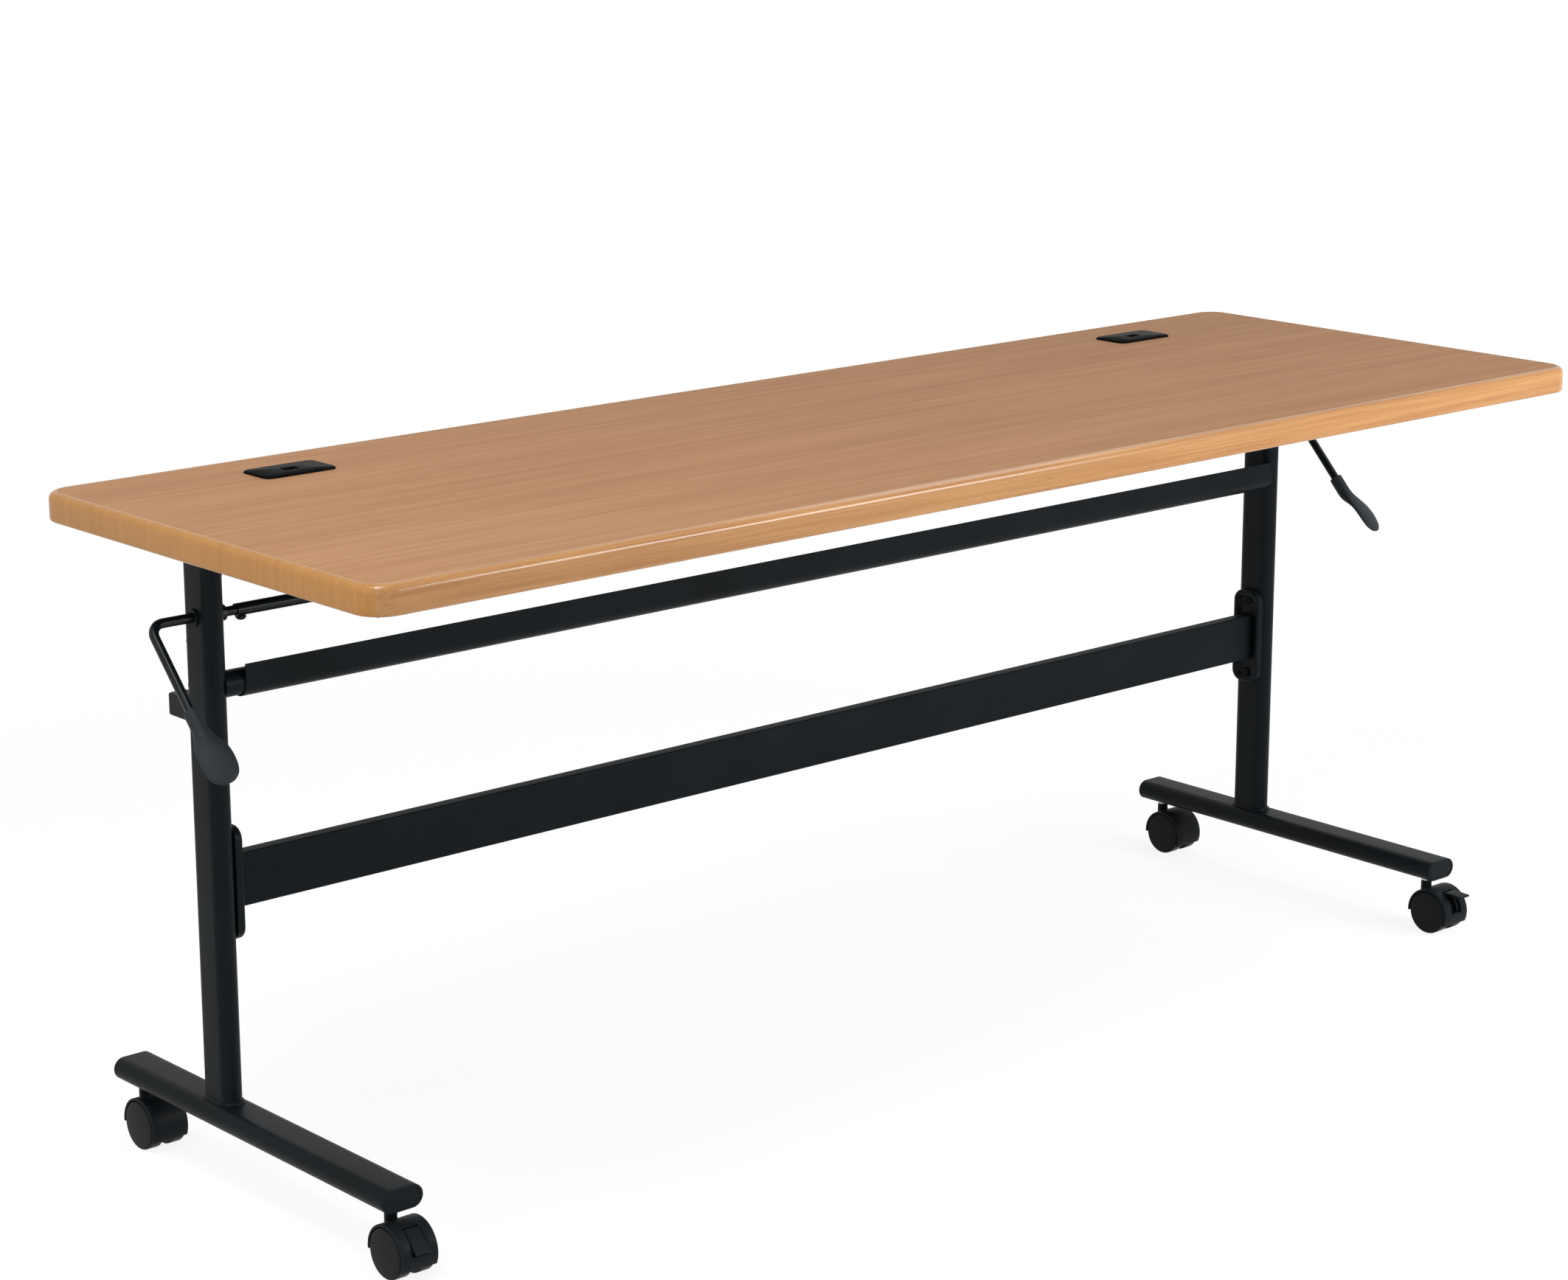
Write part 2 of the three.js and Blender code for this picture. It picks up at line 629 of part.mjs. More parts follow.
// Hinge bracket: a web on the underside and two cheeks that straddle the leg head
function hingeBracket() {
  const front = LEG_BEHIND - BRACKET_AHEAD;
  const bottom = FIXING_TOP - BRACKET_DEPTH;
  const outline = new THREE.Shape();
  outline.moveTo(front, FIXING_TOP);
  outline.lineTo(front, bottom + BRACKET_CHAMFER / 2);
  outline.lineTo(front + BRACKET_CHAMFER / 2, bottom);
  outline.lineTo(BRACKET_BACK - BRACKET_CHAMFER, bottom);
  outline.lineTo(BRACKET_BACK, bottom + BRACKET_CHAMFER);
  outline.lineTo(BRACKET_BACK, FIXING_TOP);
  const body = prismX(outline, LEG_X - CHEEK_OUTSIDE, LEG_X + CHEEK_OUTSIDE);
  const between = [LEG_X - CHEEK_INSIDE, LEG_X + CHEEK_INSIDE];
  const underWeb = block(between, [WEB_FRONT - 1, BRACKET_BACK + 1], [bottom - 1, WEB_BOTTOM]);
  const aheadOfWeb = block(between, [front - 1, WEB_FRONT], [bottom - 1, FIXING_TOP + 1]);
  const boltHole = pinX(PIVOT_BOLT_RADIUS + FIT, 0, FAR, PIVOT.x, PIVOT.y);
  return cut(body, underWeb, aheadOfWeb, boltHole);
}

// Arm: a channel open to the underside, with a sloped closed front end
function topArm() {
  const bottom = FIXING_TOP - ARM_DEPTH;
  const side = (inset, top, back) => new THREE.Shape([
    new THREE.Vector2(ARM_FRONT + inset, top),
    new THREE.Vector2(ARM_FRONT + inset + ARM_BEVEL, bottom + inset),
    new THREE.Vector2(back, bottom + inset),
    new THREE.Vector2(back, top),
  ]);
  const half = OVAL_HALF - ARM_WALL;
  const body = prismX(side(0, FIXING_TOP, ARM_BACK), LEG_X - OVAL_HALF, LEG_X + OVAL_HALF);
  const hollow = prismX(side(ARM_WALL, FIXING_TOP + 1, ARM_BACK + 1), LEG_X - half, LEG_X + half);
  return cut(body, hollow);
}

function centreStiffener() {
  const bottom = FIXING_TOP - STIFFENER_DEPTH;
  const end = STIFFENER_LENGTH / 2;
  const across = [-STIFFENER_AHEAD - STIFFENER_WIDTH / 2, STIFFENER_WIDTH / 2 - STIFFENER_AHEAD];
  const within = [across[0] + STIFFENER_WALL, across[1] - STIFFENER_WALL];
  const body = block([-end, end], across, [bottom, FIXING_TOP]);
  const hollow = block([-FAR, FAR], within, [bottom + STIFFENER_WALL, FIXING_TOP + 1]);
  return cut(body, hollow);
}

// Outline of the pawl's tooth in its latched place, grown by a clearance
function toothOutline(grow) {
  const tip = LATCH_RADIUS - TOOTH_DEPTH - grow;
  const root = tip + TOOTH_LENGTH + 2 * grow;
  const across = (radius, offset) => {
    const point = polar(PIVOT, radius, TOOTH_ANGLE);
    const sideways = polar(new THREE.Vector2(), offset, TOOTH_ANGLE + 90);
    return point.add(sideways);
  };
  return [
    across(root, TOOTH_ROOT / 2 + grow),
    across(tip, TOOTH_TIP / 2 + grow),
    across(tip, -TOOTH_TIP / 2 - grow),
    across(root, -TOOTH_ROOT / 2 - grow),
  ];
}

function turnedAbout(points, centre, degrees) {
  return points.map((point) => point.clone().rotateAround(centre, radians(degrees)));
}

function arcAbout(centre, radius, start, end, steps = 5) {
  return Array.from({ length: steps + 1 }, (_, i) => polar(centre, radius, start + (end - start) * i / steps));
}

// Latch plate: two lobes round the pivot, each notched along the tooth's path for one stop of the top
function latchPlate() {
  const [near, far] = [LEG_X - LATCH_FAR, LEG_X - LATCH_NEAR];
  const lower = arcAbout(PIVOT, LATCH_RADIUS, TOOTH_ANGLE - LATCH_PAST_NOTCH, TOOTH_ANGLE + LATCH_LOBE);
  const backNotch = TOOTH_ANGLE + FLIP_TRAVEL;
  const back = arcAbout(PIVOT, LATCH_RADIUS, backNotch - LATCH_LOBE, backNotch + LATCH_BEFORE_NOTCH);
  const waist = polar(PIVOT, LATCH_WAIST, TOOTH_ANGLE + LATCH_WAIST_ANGLE);
  const outline = [...lower, waist, ...back];
  outline.push(new THREE.Vector2(back.at(-1).x, WEB_BOTTOM));
  outline.push(new THREE.Vector2(PIVOT.x - LATCH_TOP_AHEAD, WEB_BOTTOM));
  const notches = [0, FLIP_TRAVEL].flatMap((flip) => [0, 0.25, 0.5, 0.75].map((share) => {
    const lifted = turnedAbout(toothOutline(NOTCH_DEPTH / 10), RELEASE, -share * RELEASE_TRAVEL);
    return prismX(new THREE.Shape(turnedAbout(lifted, PIVOT, flip)), near - 1, far + 1);
  }));
  const boltHole = pinX(PIVOT_BOLT_RADIUS + FIT, 0, FAR, PIVOT.x, PIVOT.y);
  return cut(prismX(new THREE.Shape(outline), near, far), ...notches, boltHole);
}

// Pawl: a hub on the lever rod and a tooth on its arm, drawn latched and turned to just clear
function pawl() {
  const [near, far] = [LEG_X - LATCH_FAR + FIT, LEG_X - LATCH_NEAR - FIT];
  const tooth = toothOutline(0);
  const heel = polar(PIVOT, LATCH_RADIUS + PAWL_HUB_RADIUS, TOOTH_ANGLE + 2);
  const outline = [
    new THREE.Vector2(RELEASE.x, RELEASE.y - PAWL_HUB_RADIUS + 2),
    heel,
    ...tooth,
    new THREE.Vector2(RELEASE.x, RELEASE.y + PAWL_HUB_RADIUS - 1),
  ];
  const arm = prismX(new THREE.Shape(turnedAbout(outline, RELEASE, -RELEASE_TRAVEL)), near, far);
  const hubOuter = INNER_FACE - FIT;
  const hub = pinX(PAWL_HUB_RADIUS, hubOuter - PAWL_HUB_WIDTH, hubOuter, RELEASE.x, RELEASE.y);
  return cut(join(hub, arm), pinX(ROD_RADIUS + FIT, 0, FAR, RELEASE.x, RELEASE.y));
}

// Release shaft: a tube between the legs, rods through the legs and bent levers outside them
function circle(radius, sides) {
  return Array.from({ length: sides }, (_, i) => polar(new THREE.Vector2(), radius, 360 * i / sides));
}

function releaseTube() {
  const ring = (radius, x) => circle(radius, ROUND_SIDES).map((point) => {
    return new THREE.Vector3(x, RELEASE.x + point.x, RELEASE.y + point.y);
  });
  const inside = ROD_RADIUS + FIT;
  const tube = loft([
    ring(RELEASE_RADIUS, -RELEASE_END),
    ring(RELEASE_RADIUS, RELEASE_END),
    ring(inside, RELEASE_END),
    ring(inside, -RELEASE_END),
  ], true);
  const holes = [-1, 1].map((side) => {
    const hole = SCREW_RADIUS + FIT;
    return pinZ(hole, RELEASE.y - 2 * RELEASE_RADIUS, RELEASE.y, side * SET_SCREW_X, RELEASE.x, 8);
  });
  return cut(tube, ...holes);
}

function setScrew() {
  const seat = new THREE.Vector3(SET_SCREW_X, RELEASE.x, RELEASE.y - RELEASE_RADIUS - FIT);
  const length = RELEASE_RADIUS - ROD_RADIUS;
  return screw(seat, AXIS_Z.clone().negate(), SCREW_RADIUS, length);
}

const leverDown = new THREE.Vector3(0, -Math.cos(radians(LEVER_DROP_ANGLE)), -Math.sin(radians(LEVER_DROP_ANGLE)));
const leverAcross = new THREE.Vector3().crossVectors(leverDown, AXIS_X);

function leverRod() {
  const ring = (centre, tangent) => {
    const sideways = new THREE.Vector3().crossVectors(leverAcross, tangent);
    return circle(ROD_RADIUS, 12).map((point) => {
      return centre.clone().addScaledVector(leverAcross, point.x).addScaledVector(sideways, point.y);
    });
  };
  const start = new THREE.Vector3(RELEASE_END - ROD_INSERT, RELEASE.x, RELEASE.y);
  const rings = [ring(start, AXIS_X)];
  const centre = BEND.clone().addScaledVector(AXIS_X, -LEVER_BEND).addScaledVector(leverDown, LEVER_BEND);
  const steps = 6;
  for (let i = 0; i <= steps; i++) {
    const angle = Math.PI / 2 * i / steps;
    const tangent = AXIS_X.clone().multiplyScalar(Math.cos(angle)).addScaledVector(leverDown, Math.sin(angle));
    const spoke = AXIS_X.clone().multiplyScalar(Math.sin(angle)).addScaledVector(leverDown, -Math.cos(angle));
    rings.push(ring(centre.clone().addScaledVector(spoke, LEVER_BEND), tangent));
  }
  const tip = GRIP_START + GRIP_SOCKET - FIT;
  rings.push(ring(BEND.clone().addScaledVector(leverDown, tip), leverDown));
  return loft(rings);
}

// Grip: a sleeve on the rod that narrows to a waist and spreads into a twisted, offset paddle.
// Each station gives its share of the length, its half sizes and its offset from the rod's line.
function leverGrip() {
  const twist = radians(GRIP_TWIST);
  const normal = AXIS_X.clone().multiplyScalar(Math.cos(twist)).addScaledVector(leverAcross, Math.sin(twist));
  const wide = new THREE.Vector3().crossVectors(leverDown, normal);
  const sleeve = GRIP_SLEEVE / 2;
  const [broad, thin] = [PADDLE_WIDTH / 2, PADDLE_THICKNESS / 2];
  const stations = [
    [0, sleeve, sleeve, 0],
    [0.24, sleeve * 1.04, sleeve, 0],
    [0.34, broad * 0.55, sleeve * 0.95, 0.14],
    [0.44, broad * 0.76, thin * 1.3, 0.48],
    [0.55, broad * 0.93, thin * 1.06, 0.82],
    [0.68, broad, thin, 1],
    [0.81, broad * 0.97, thin * 0.96, 1.02],
    [0.91, broad * 0.82, thin * 0.85, 1],
    [0.97, broad * 0.54, thin * 0.62, 0.98],
    [1, broad * 0.2, thin * 0.25, 0.97],
  ];
  const rings = stations.map(([share, halfWide, halfThin, offset]) => {
    const centre = BEND.clone().addScaledVector(leverDown, GRIP_START + share * GRIP_LENGTH);
    centre.addScaledVector(normal, offset * PADDLE_OFFSET);
    return circle(1, 16).map((point) => {
      return centre.clone().addScaledVector(wide, point.x * halfWide).addScaledVector(normal, point.y * halfThin);
    });
  });
  const socket = new THREE.CylinderGeometry(ROD_RADIUS + FIT, ROD_RADIUS + FIT, 2 * GRIP_SOCKET, 12);
  socket.applyQuaternion(new THREE.Quaternion().setFromUnitVectors(AXIS_Y, leverDown));
  const mouth = BEND.clone().addScaledVector(leverDown, GRIP_START);
  return cut(loft(rings), socket.translate(mouth.x, mouth.y, mouth.z));
}

// Bush that carries a lever rod through its leg, with a flange on the outer face
function leverBush() {
  const flange = OVAL_HALF + FIT;
  const outer = flange + BUSH_FLANGE_THICKNESS;
  const bore = ROD_RADIUS + FIT;
  const ring = turnedX([
    [bore, -OVAL_HALF],
    [BUSH_RADIUS, -OVAL_HALF],
    [BUSH_RADIUS, flange],
    [BUSH_FLANGE, flange],
    [BUSH_FLANGE, outer],
    [bore, outer],
    [bore, -OVAL_HALF],
  ]);
  return ring.translate(LEG_X, RELEASE.x, RELEASE.y);
}

// Coil round the left bush, wide enough for its flat-sided turns to clear it
class Coil extends THREE.Curve {
  getPoint(share, target = new THREE.Vector3()) {
    const radius = (BUSH_RADIUS + FIT + SPRING_WIRE) / Math.cos(Math.PI / SPRING_STEPS);
    const round = polar(RELEASE, radius, 360 * SPRING_TURNS * share);
    const along = (share - 0.5) * SPRING_TURNS * SPRING_PITCH;
    return target.set(-LEG_X + along, round.x, round.y);
  }
}

function returnSpring() {
  const section = new THREE.Shape(circle(SPRING_WIRE, 5));
  const settings = { steps: SPRING_TURNS * SPRING_STEPS, extrudePath: new Coil(), bevelEnabled: false };
  return new THREE.ExtrudeGeometry(section, settings);
}

// Casters, drawn with the stem's axis through the origin and the floor at zero
function casterStem() {
  const foot = BOSS_TOP - STEM_DEPTH + FIT;
  const tip = FOOT_TOP - OVAL_WALL - FIT;
  const collar = BOSS_TOP + FIT;
  const seat = CASTER_HEIGHT - FIT;
  return turned([
    [0, foot],
    [STEM_LOWER_RADIUS, foot],
    [STEM_LOWER_RADIUS, collar],
    [NECK_RADIUS, collar],
    [NECK_RADIUS, seat],
    [STEM_RADIUS, seat],
    [STEM_RADIUS, tip],
    [0, tip],
  ], 12);
}

function pedalPivot() {
  return polar(AXLE, HOOD_RADIUS - HOOD_WALL / 2, 119);
}

// Hood: a fender over both treads, a web between the wheels, a boss for the stem and the axle
function casterHood(braked) {
  const web = WHEEL_GAP / 2 - HOOD_CLEAR;
  const outline = new THREE.Shape();
  outline.absarc(AXLE.x, AXLE.y, HOOD_RADIUS, radians(HOOD_BACK_ANGLE), radians(HOOD_FRONT_ANGLE), false);
  outline.absarc(AXLE.x, AXLE.y, HOOD_HUB, radians(HOOD_FRONT_ANGLE), radians(HOOD_BACK_ANGLE + 360), false);
  const shell = prismX(outline, -HOOD_WIDTH / 2, HOOD_WIDTH / 2);
  const boss = pinZ(HOOD_BOSS, WHEEL_RADIUS + HOOD_HUB, BOSS_TOP, 0, 0, 14);
  const room = WHEEL_RADIUS + HOOD_CLEAR;
  const tools = [
    pinX(room, web, HOOD_WIDTH, AXLE.x, AXLE.y, 20),
    pinX(room, -HOOD_WIDTH, -web, AXLE.x, AXLE.y, 20),
    pinZ(STEM_LOWER_RADIUS + FIT, BOSS_TOP - STEM_DEPTH, BOSS_TOP + 1, 0, 0, 12),
  ];
  if (braked) {
    const slot = new THREE.Shape();
    slot.absarc(AXLE.x, AXLE.y, HOOD_RADIUS + HOOD_WALL, radians(113), radians(163), false);
    slot.absarc(AXLE.x, AXLE.y, WHEEL_RADIUS - 2 * HOOD_WALL, radians(163), radians(113), true);
    const half = PEDAL_WIDTH / 2;
    const pivot = pedalPivot();
    tools.push(prismX(slot, -half - FIT, half + FIT));
    tools.push(pinX(PEDAL_PIN + FIT, -half - 3, half + 3, pivot.x, pivot.y, 8));
  }
  const reach = WHEEL_GAP / 2 + WHEEL_BORE_DEPTH - FIT;
  const axle = pinX(AXLE_RADIUS, -reach, reach, AXLE.x, AXLE.y, 12);
  return join(cut(join(shell, boss), ...tools), axle);
}

// Wheel on the +X side of the hood, bored from its inner face
function casterWheel() {
  const bore = AXLE_RADIUS + FIT;
  const wheel = turnedX([
    [0, WHEEL_BORE_DEPTH],
    [bore, WHEEL_BORE_DEPTH],
    [bore, 0],
    [WHEEL_RADIUS - 1.5, 0],
    [WHEEL_RADIUS, 1.5],
    [WHEEL_RADIUS, WHEEL_WIDTH - 3],
    [WHEEL_RADIUS - 2, WHEEL_WIDTH - 0.8],
    [WHEEL_RADIUS - 9, WHEEL_WIDTH],
    [0, WHEEL_WIDTH],
  ], 22);
  return wheel.translate(WHEEL_GAP / 2, AXLE.x, AXLE.y);
}

// Brake pedal: a tongue in the hood's front slot on two small pins, pressed by a share of its travel
function brakePedal(pressed) {
  const skin = HOOD_RADIUS - HOOD_WALL + FIT;
  const outline = [
    [HOOD_RADIUS, 116],
    [HOOD_RADIUS + 3, 135],
    [HOOD_RADIUS + 7.5, 145],
    [HOOD_RADIUS + 8, 149],
    [HOOD_RADIUS + 5, 150],
    [skin + 2.6, 137],
    [skin, 125],
    [skin, 116],
  ].map(([radius, degrees]) => polar(AXLE, radius, degrees));
  const pivot = pedalPivot();
  const half = PEDAL_WIDTH / 2;
  const placed = turnedAbout(outline, pivot, pressed * PEDAL_TRAVEL);
  const tongue = prismX(new THREE.Shape(placed), -half, half);
  return join(tongue, pinX(PEDAL_PIN, -half - 2.5, half + 2.5, pivot.x, pivot.y, 8));
}

const LAMINATE = { color: 0xbc8d69, roughness: 0.5, metalness: 0 };
const BANDING = { color: 0xcda06e, roughness: 0.4, metalness: 0 };
const POWDER_COAT = { color: 0x181e21, roughness: 0.55, metalness: 0.2 };
const PLASTIC = { color: 0x141617, roughness: 0.6, metalness: 0 };
const STEEL = { color: 0x9a9da0, roughness: 0.35, metalness: 1 };
const DARK_STEEL = { color: 0x2a2d30, roughness: 0.45, metalness: 0.8 };

const group = new THREE.Group();

function add(name, geometry, finish) {
  const shifted = closed(geometry).translate(0, -MIDDLE_Y, 0).toNonIndexed();
  shifted.computeVertexNormals();
  const mesh = new THREE.Mesh(shifted, new THREE.MeshStandardMaterial(finish));
  mesh.name = name;
  group.add(mesh);
}

function addPair(name, geometry, finish) {
  add(`right_${name}`, geometry, finish);
  add(`left_${name}`, mirrored(geometry), finish);
}

add('table_top', tableTop(), LAMINATE);
add('edge_band', edgeBand(), BANDING);
addPair('grommet_cover', grommetCover(), PLASTIC);
addPair('top_arm', topArm(), POWDER_COAT);
addPair('hinge_bracket', hingeBracket(), POWDER_COAT);
addPair('latch_plate', latchPlate(), DARK_STEEL);
add('centre_stiffener', centreStiffener(), POWDER_COAT);

add('right_leg', leg(), POWDER_COAT);
add('left_leg', join(mirrored(leg()), ...linkScrews()), POWDER_COAT);
addPair('leg_head', legHead(), DARK_STEEL);
addPair('pivot_bolt', pivotBolt(), STEEL);
addPair('foot', foot(), POWDER_COAT);
addPair('front_foot_cap', footCap(FOOT_FRONT, -1), PLASTIC);
addPair('back_foot_cap', footCap(FOOT_BACK, 1), PLASTIC);
add('cross_tube', crossTube(), POWDER_COAT);
add('wire_trough', wireTrough(), POWDER_COAT);
add('lower_crossbar', lowerCrossbar(), POWDER_COAT);
addPair('crossbar_bracket', crossbarBracket(), POWDER_COAT);
add('link_block', linkBlock(), PLASTIC);
addPair('lever_bush', leverBush(), PLASTIC);
add('return_spring', returnSpring(), STEEL);

add('release_tube', releaseTube(), POWDER_COAT);
addPair('set_screw', setScrew(), DARK_STEEL);
addPair('pawl', pawl(), DARK_STEEL);
addPair('lever_rod', leverRod(), POWDER_COAT);
addPair('lever_grip', leverGrip(), PLASTIC);

for (const [end, y] of [['front', STEM_FRONT], ['back', STEM_BACK]]) {
  const braked = end === 'front';
  addPair(`${end}_caster_stem`, casterStem().translate(LEG_X, y, 0), STEEL);
  addPair(`${end}_caster_hood`, casterHood(braked).translate(LEG_X, y, 0), PLASTIC);
  const wheel = casterWheel();
  addPair(`${end}_outer_wheel`, wheel.clone().translate(LEG_X, y, 0), PLASTIC);
  addPair(`${end}_inner_wheel`, mirrored(wheel).translate(LEG_X, y, 0), PLASTIC);
}
add('right_brake_pedal', brakePedal(0).translate(LEG_X, STEM_FRONT, 0), PLASTIC);
add('left_brake_pedal', mirrored(brakePedal(1).translate(LEG_X, STEM_FRONT, 0)), PLASTIC);

export default group;
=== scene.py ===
"""Flip top training table: its finished pieces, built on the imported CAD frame."""

import json
import math

import bmesh
import bpy
from bpy.props import FloatProperty, FloatVectorProperty, PointerProperty
from mathutils import Matrix, Vector


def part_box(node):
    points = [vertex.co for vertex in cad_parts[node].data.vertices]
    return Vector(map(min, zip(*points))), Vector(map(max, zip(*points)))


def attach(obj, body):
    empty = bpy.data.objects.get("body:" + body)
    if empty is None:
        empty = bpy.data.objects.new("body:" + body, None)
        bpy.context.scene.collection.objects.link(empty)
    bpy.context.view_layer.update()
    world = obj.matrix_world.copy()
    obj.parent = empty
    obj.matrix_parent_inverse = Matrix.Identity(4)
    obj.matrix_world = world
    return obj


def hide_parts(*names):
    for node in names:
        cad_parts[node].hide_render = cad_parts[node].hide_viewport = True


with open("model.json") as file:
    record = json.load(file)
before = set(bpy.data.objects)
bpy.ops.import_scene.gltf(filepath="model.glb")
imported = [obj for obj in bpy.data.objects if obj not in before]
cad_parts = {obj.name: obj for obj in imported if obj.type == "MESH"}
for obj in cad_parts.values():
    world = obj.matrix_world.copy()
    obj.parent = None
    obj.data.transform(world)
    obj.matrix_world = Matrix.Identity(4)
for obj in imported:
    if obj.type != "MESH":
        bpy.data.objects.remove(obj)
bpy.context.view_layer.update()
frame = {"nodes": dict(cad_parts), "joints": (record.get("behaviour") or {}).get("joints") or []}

bl_info = {
    "name": "Flip Top Training Table",
    "version": (1, 0, 0),
    "blender": (4, 5, 0),
    "location": "View3D > Sidebar > Table",
    "description": "Builds the finished pieces of a flip top training table on its CAD frame",
    "category": "Object",
}

MM = 0.001
SIDES = {"left": -1, "right": 1}
ENDS = ("front", "back")


def length(name, description, default):
    return FloatProperty(name=name, description=description, default=default * MM, unit="LENGTH")


def angle(name, description, default):
    return FloatProperty(name=name, description=description, default=math.radians(default), unit="ROTATION")


def number(name, description, default):
    return FloatProperty(name=name, description=description, default=default)


def colour(name, description, default):
    return FloatVectorProperty(name=name, description=description, default=default, size=3, min=0, max=1,
                               subtype="COLOR")


class TableSizes(bpy.types.PropertyGroup):
    # Board, edge band and grommet covers
    corner: length("Top corner", "Corner radius of the table top", 32)
    band: length("Edge band", "Thickness of the edge band", 9)
    band_top: length("Band top round", "Round along the top of the edge band", 8)
    band_bottom: length("Band bottom round", "Round along the bottom of the edge band", 4)
    fit: length("Fit", "Gap between pieces that touch", 0.3)
    grommet_lip: length("Grommet lip", "How far a grommet cover passes its cut-out", 5)
    grommet_corner: length("Grommet corner", "Corner radius of a grommet cover", 9)
    grommet_inner: length("Grommet inner corner", "Smallest corner radius under a grommet cover", 2)
    grommet_bevel: length("Grommet bevel", "Sloped edge of a grommet cover", 1.6)
    grommet_soft: length("Grommet soft edge", "Softened edge above a grommet cover's bevel", 0.3)
    grommet_hole: length("Grommet hole", "Radius of the finger hole", 10)
    grommet_rim: length("Grommet hole rim", "Sloped rim of the finger hole", 0.9)
    grommet_wall: length("Grommet wall", "Wall of the skirt under a grommet cover", 2)

    # Steelwork under the top
    arm_front_screw: length("Arm front screw", "From an arm's front end to its first screw", 32)
    arm_back_screw: length("Arm back screw", "From an arm's back end to its last screw", 57)
    hinge_back_screw: length("Hinge back screw", "From a hinge bracket's back end to its last screw", 12)
    hinge_front_screw: length("Hinge front screw", "From a hinge bracket's back end to the next screw", 35)
    hinge_sheet: length("Hinge sheet", "Thickness of a hinge bracket", 3)
    pan_head: length("Pan head", "Radius of the screws under the top", 5)
    pan_height: length("Pan head height", "Height of the screws under the top", 2.6)

    # Legs and feet
    tube_wall: length("Tube wall", "Wall of the legs, feet and cross tube", 2)
    tube_wide: length("Oval width", "Wide side of the flat-oval tube", 50.8)
    tube_slim: length("Oval depth", "Slim side of the flat-oval tube", 25.4)
    weld: length("Weld bead", "Size of the weld at the foot of a leg", 3)
    cap_plate: length("Cap plate", "Thickness of an end cap outside its foot", 4)
    cap_round: length("Cap round", "Rounded rim of a foot's end cap", 1.4)
    cap_rim: length("Cap rim", "Width of the raised rim on a foot's end cap", 3.2)
    cap_slope: length("Cap slope", "Width of the slope inside an end cap's raised rim", 0.6)
    cap_sink: length("Cap sink", "Depth of an end cap's face inside its rim", 0.7)

    # Wire trough, lower crossbar and its brackets
    sheet: length("Trough sheet", "Thickness of the wire trough", 1.5)
    trough_fold: length("Trough fold", "Outer radius of the trough's back fold", 6)
    trough_back: length("Trough back", "Height of the trough's back wall", 15)
    trough_edge: length("Trough edge", "Bevel along the trough's sheet edges", 0.35)
    bar_corner: length("Bar corner", "Corner radius of the lower crossbar", 2.5)
    bar_wall: length("Bar wall", "Wall of the lower crossbar", 1.5)
    dish_corner: length("Bracket corner", "Corner radius of a crossbar bracket", 15)
    dish_floor: length("Bracket floor", "Thickness of a bracket's dished middle", 5)
    dish_round: length("Bracket round", "Height of the round along a bracket's rim", 3.4)
    dish_inset: length("Bracket inset", "Width of the round along a bracket's rim", 3)
    screw_head: length("Screw head", "Radius of a domed screw head", 6)
    screw_height: length("Screw height", "Height of a domed screw head", 4.5)
    screw_spacing: length("Bracket screws", "Distance between a bracket's two screws", 99)

    # Link block and the screws above it
    link_low: length("Low link screw", "Lower screw on the left leg, above the link block's foot", 37)
    link_high: length("High link screw", "Upper screw on the left leg, above the link block's foot", 85)
    screw_seat: length("Screw seat", "How far a screw head sinks into the round of a leg", 0.8)
    link_head: length("Link screw head", "Radius of the screw heads behind the left leg", 6.4)
    link_height: length("Link screw height", "Height of the screw heads behind the left leg", 7.4)
    block_bevel: length("Block bevel", "Bevel along the link block's top and foot", 1.2)
    block_corner: length("Block corner", "Corner radius of the link block", 4)

    # Release levers
    rod: length("Lever rod", "Radius of a lever rod", 5.25)
    rod_bend: length("Lever bend", "Radius of a lever rod's bend", 16)
    lever_angle: angle("Lever angle", "How far a lever slopes down from level", 46.5)
    rod_insert: length("Rod insert", "How far a lever rod goes into its grip", 22)
    grip_start: length("Grip start", "From the rod's bend to its grip", 106)
    grip_length: length("Grip length", "Length of a grip", 92)
    grip_sleeve: length("Grip sleeve", "Radius of a grip's sleeve", 8.2)
    grip_twist: angle("Grip twist", "How far a paddle is turned from facing outward", 75)
    paddle_wide: length("Paddle half width", "Half the width of a paddle", 19)
    paddle_thick: length("Paddle half thickness", "Half the thickness of a paddle", 5)
    paddle_offset: length("Paddle offset", "How far a paddle stands off the rod's line", 9.5)

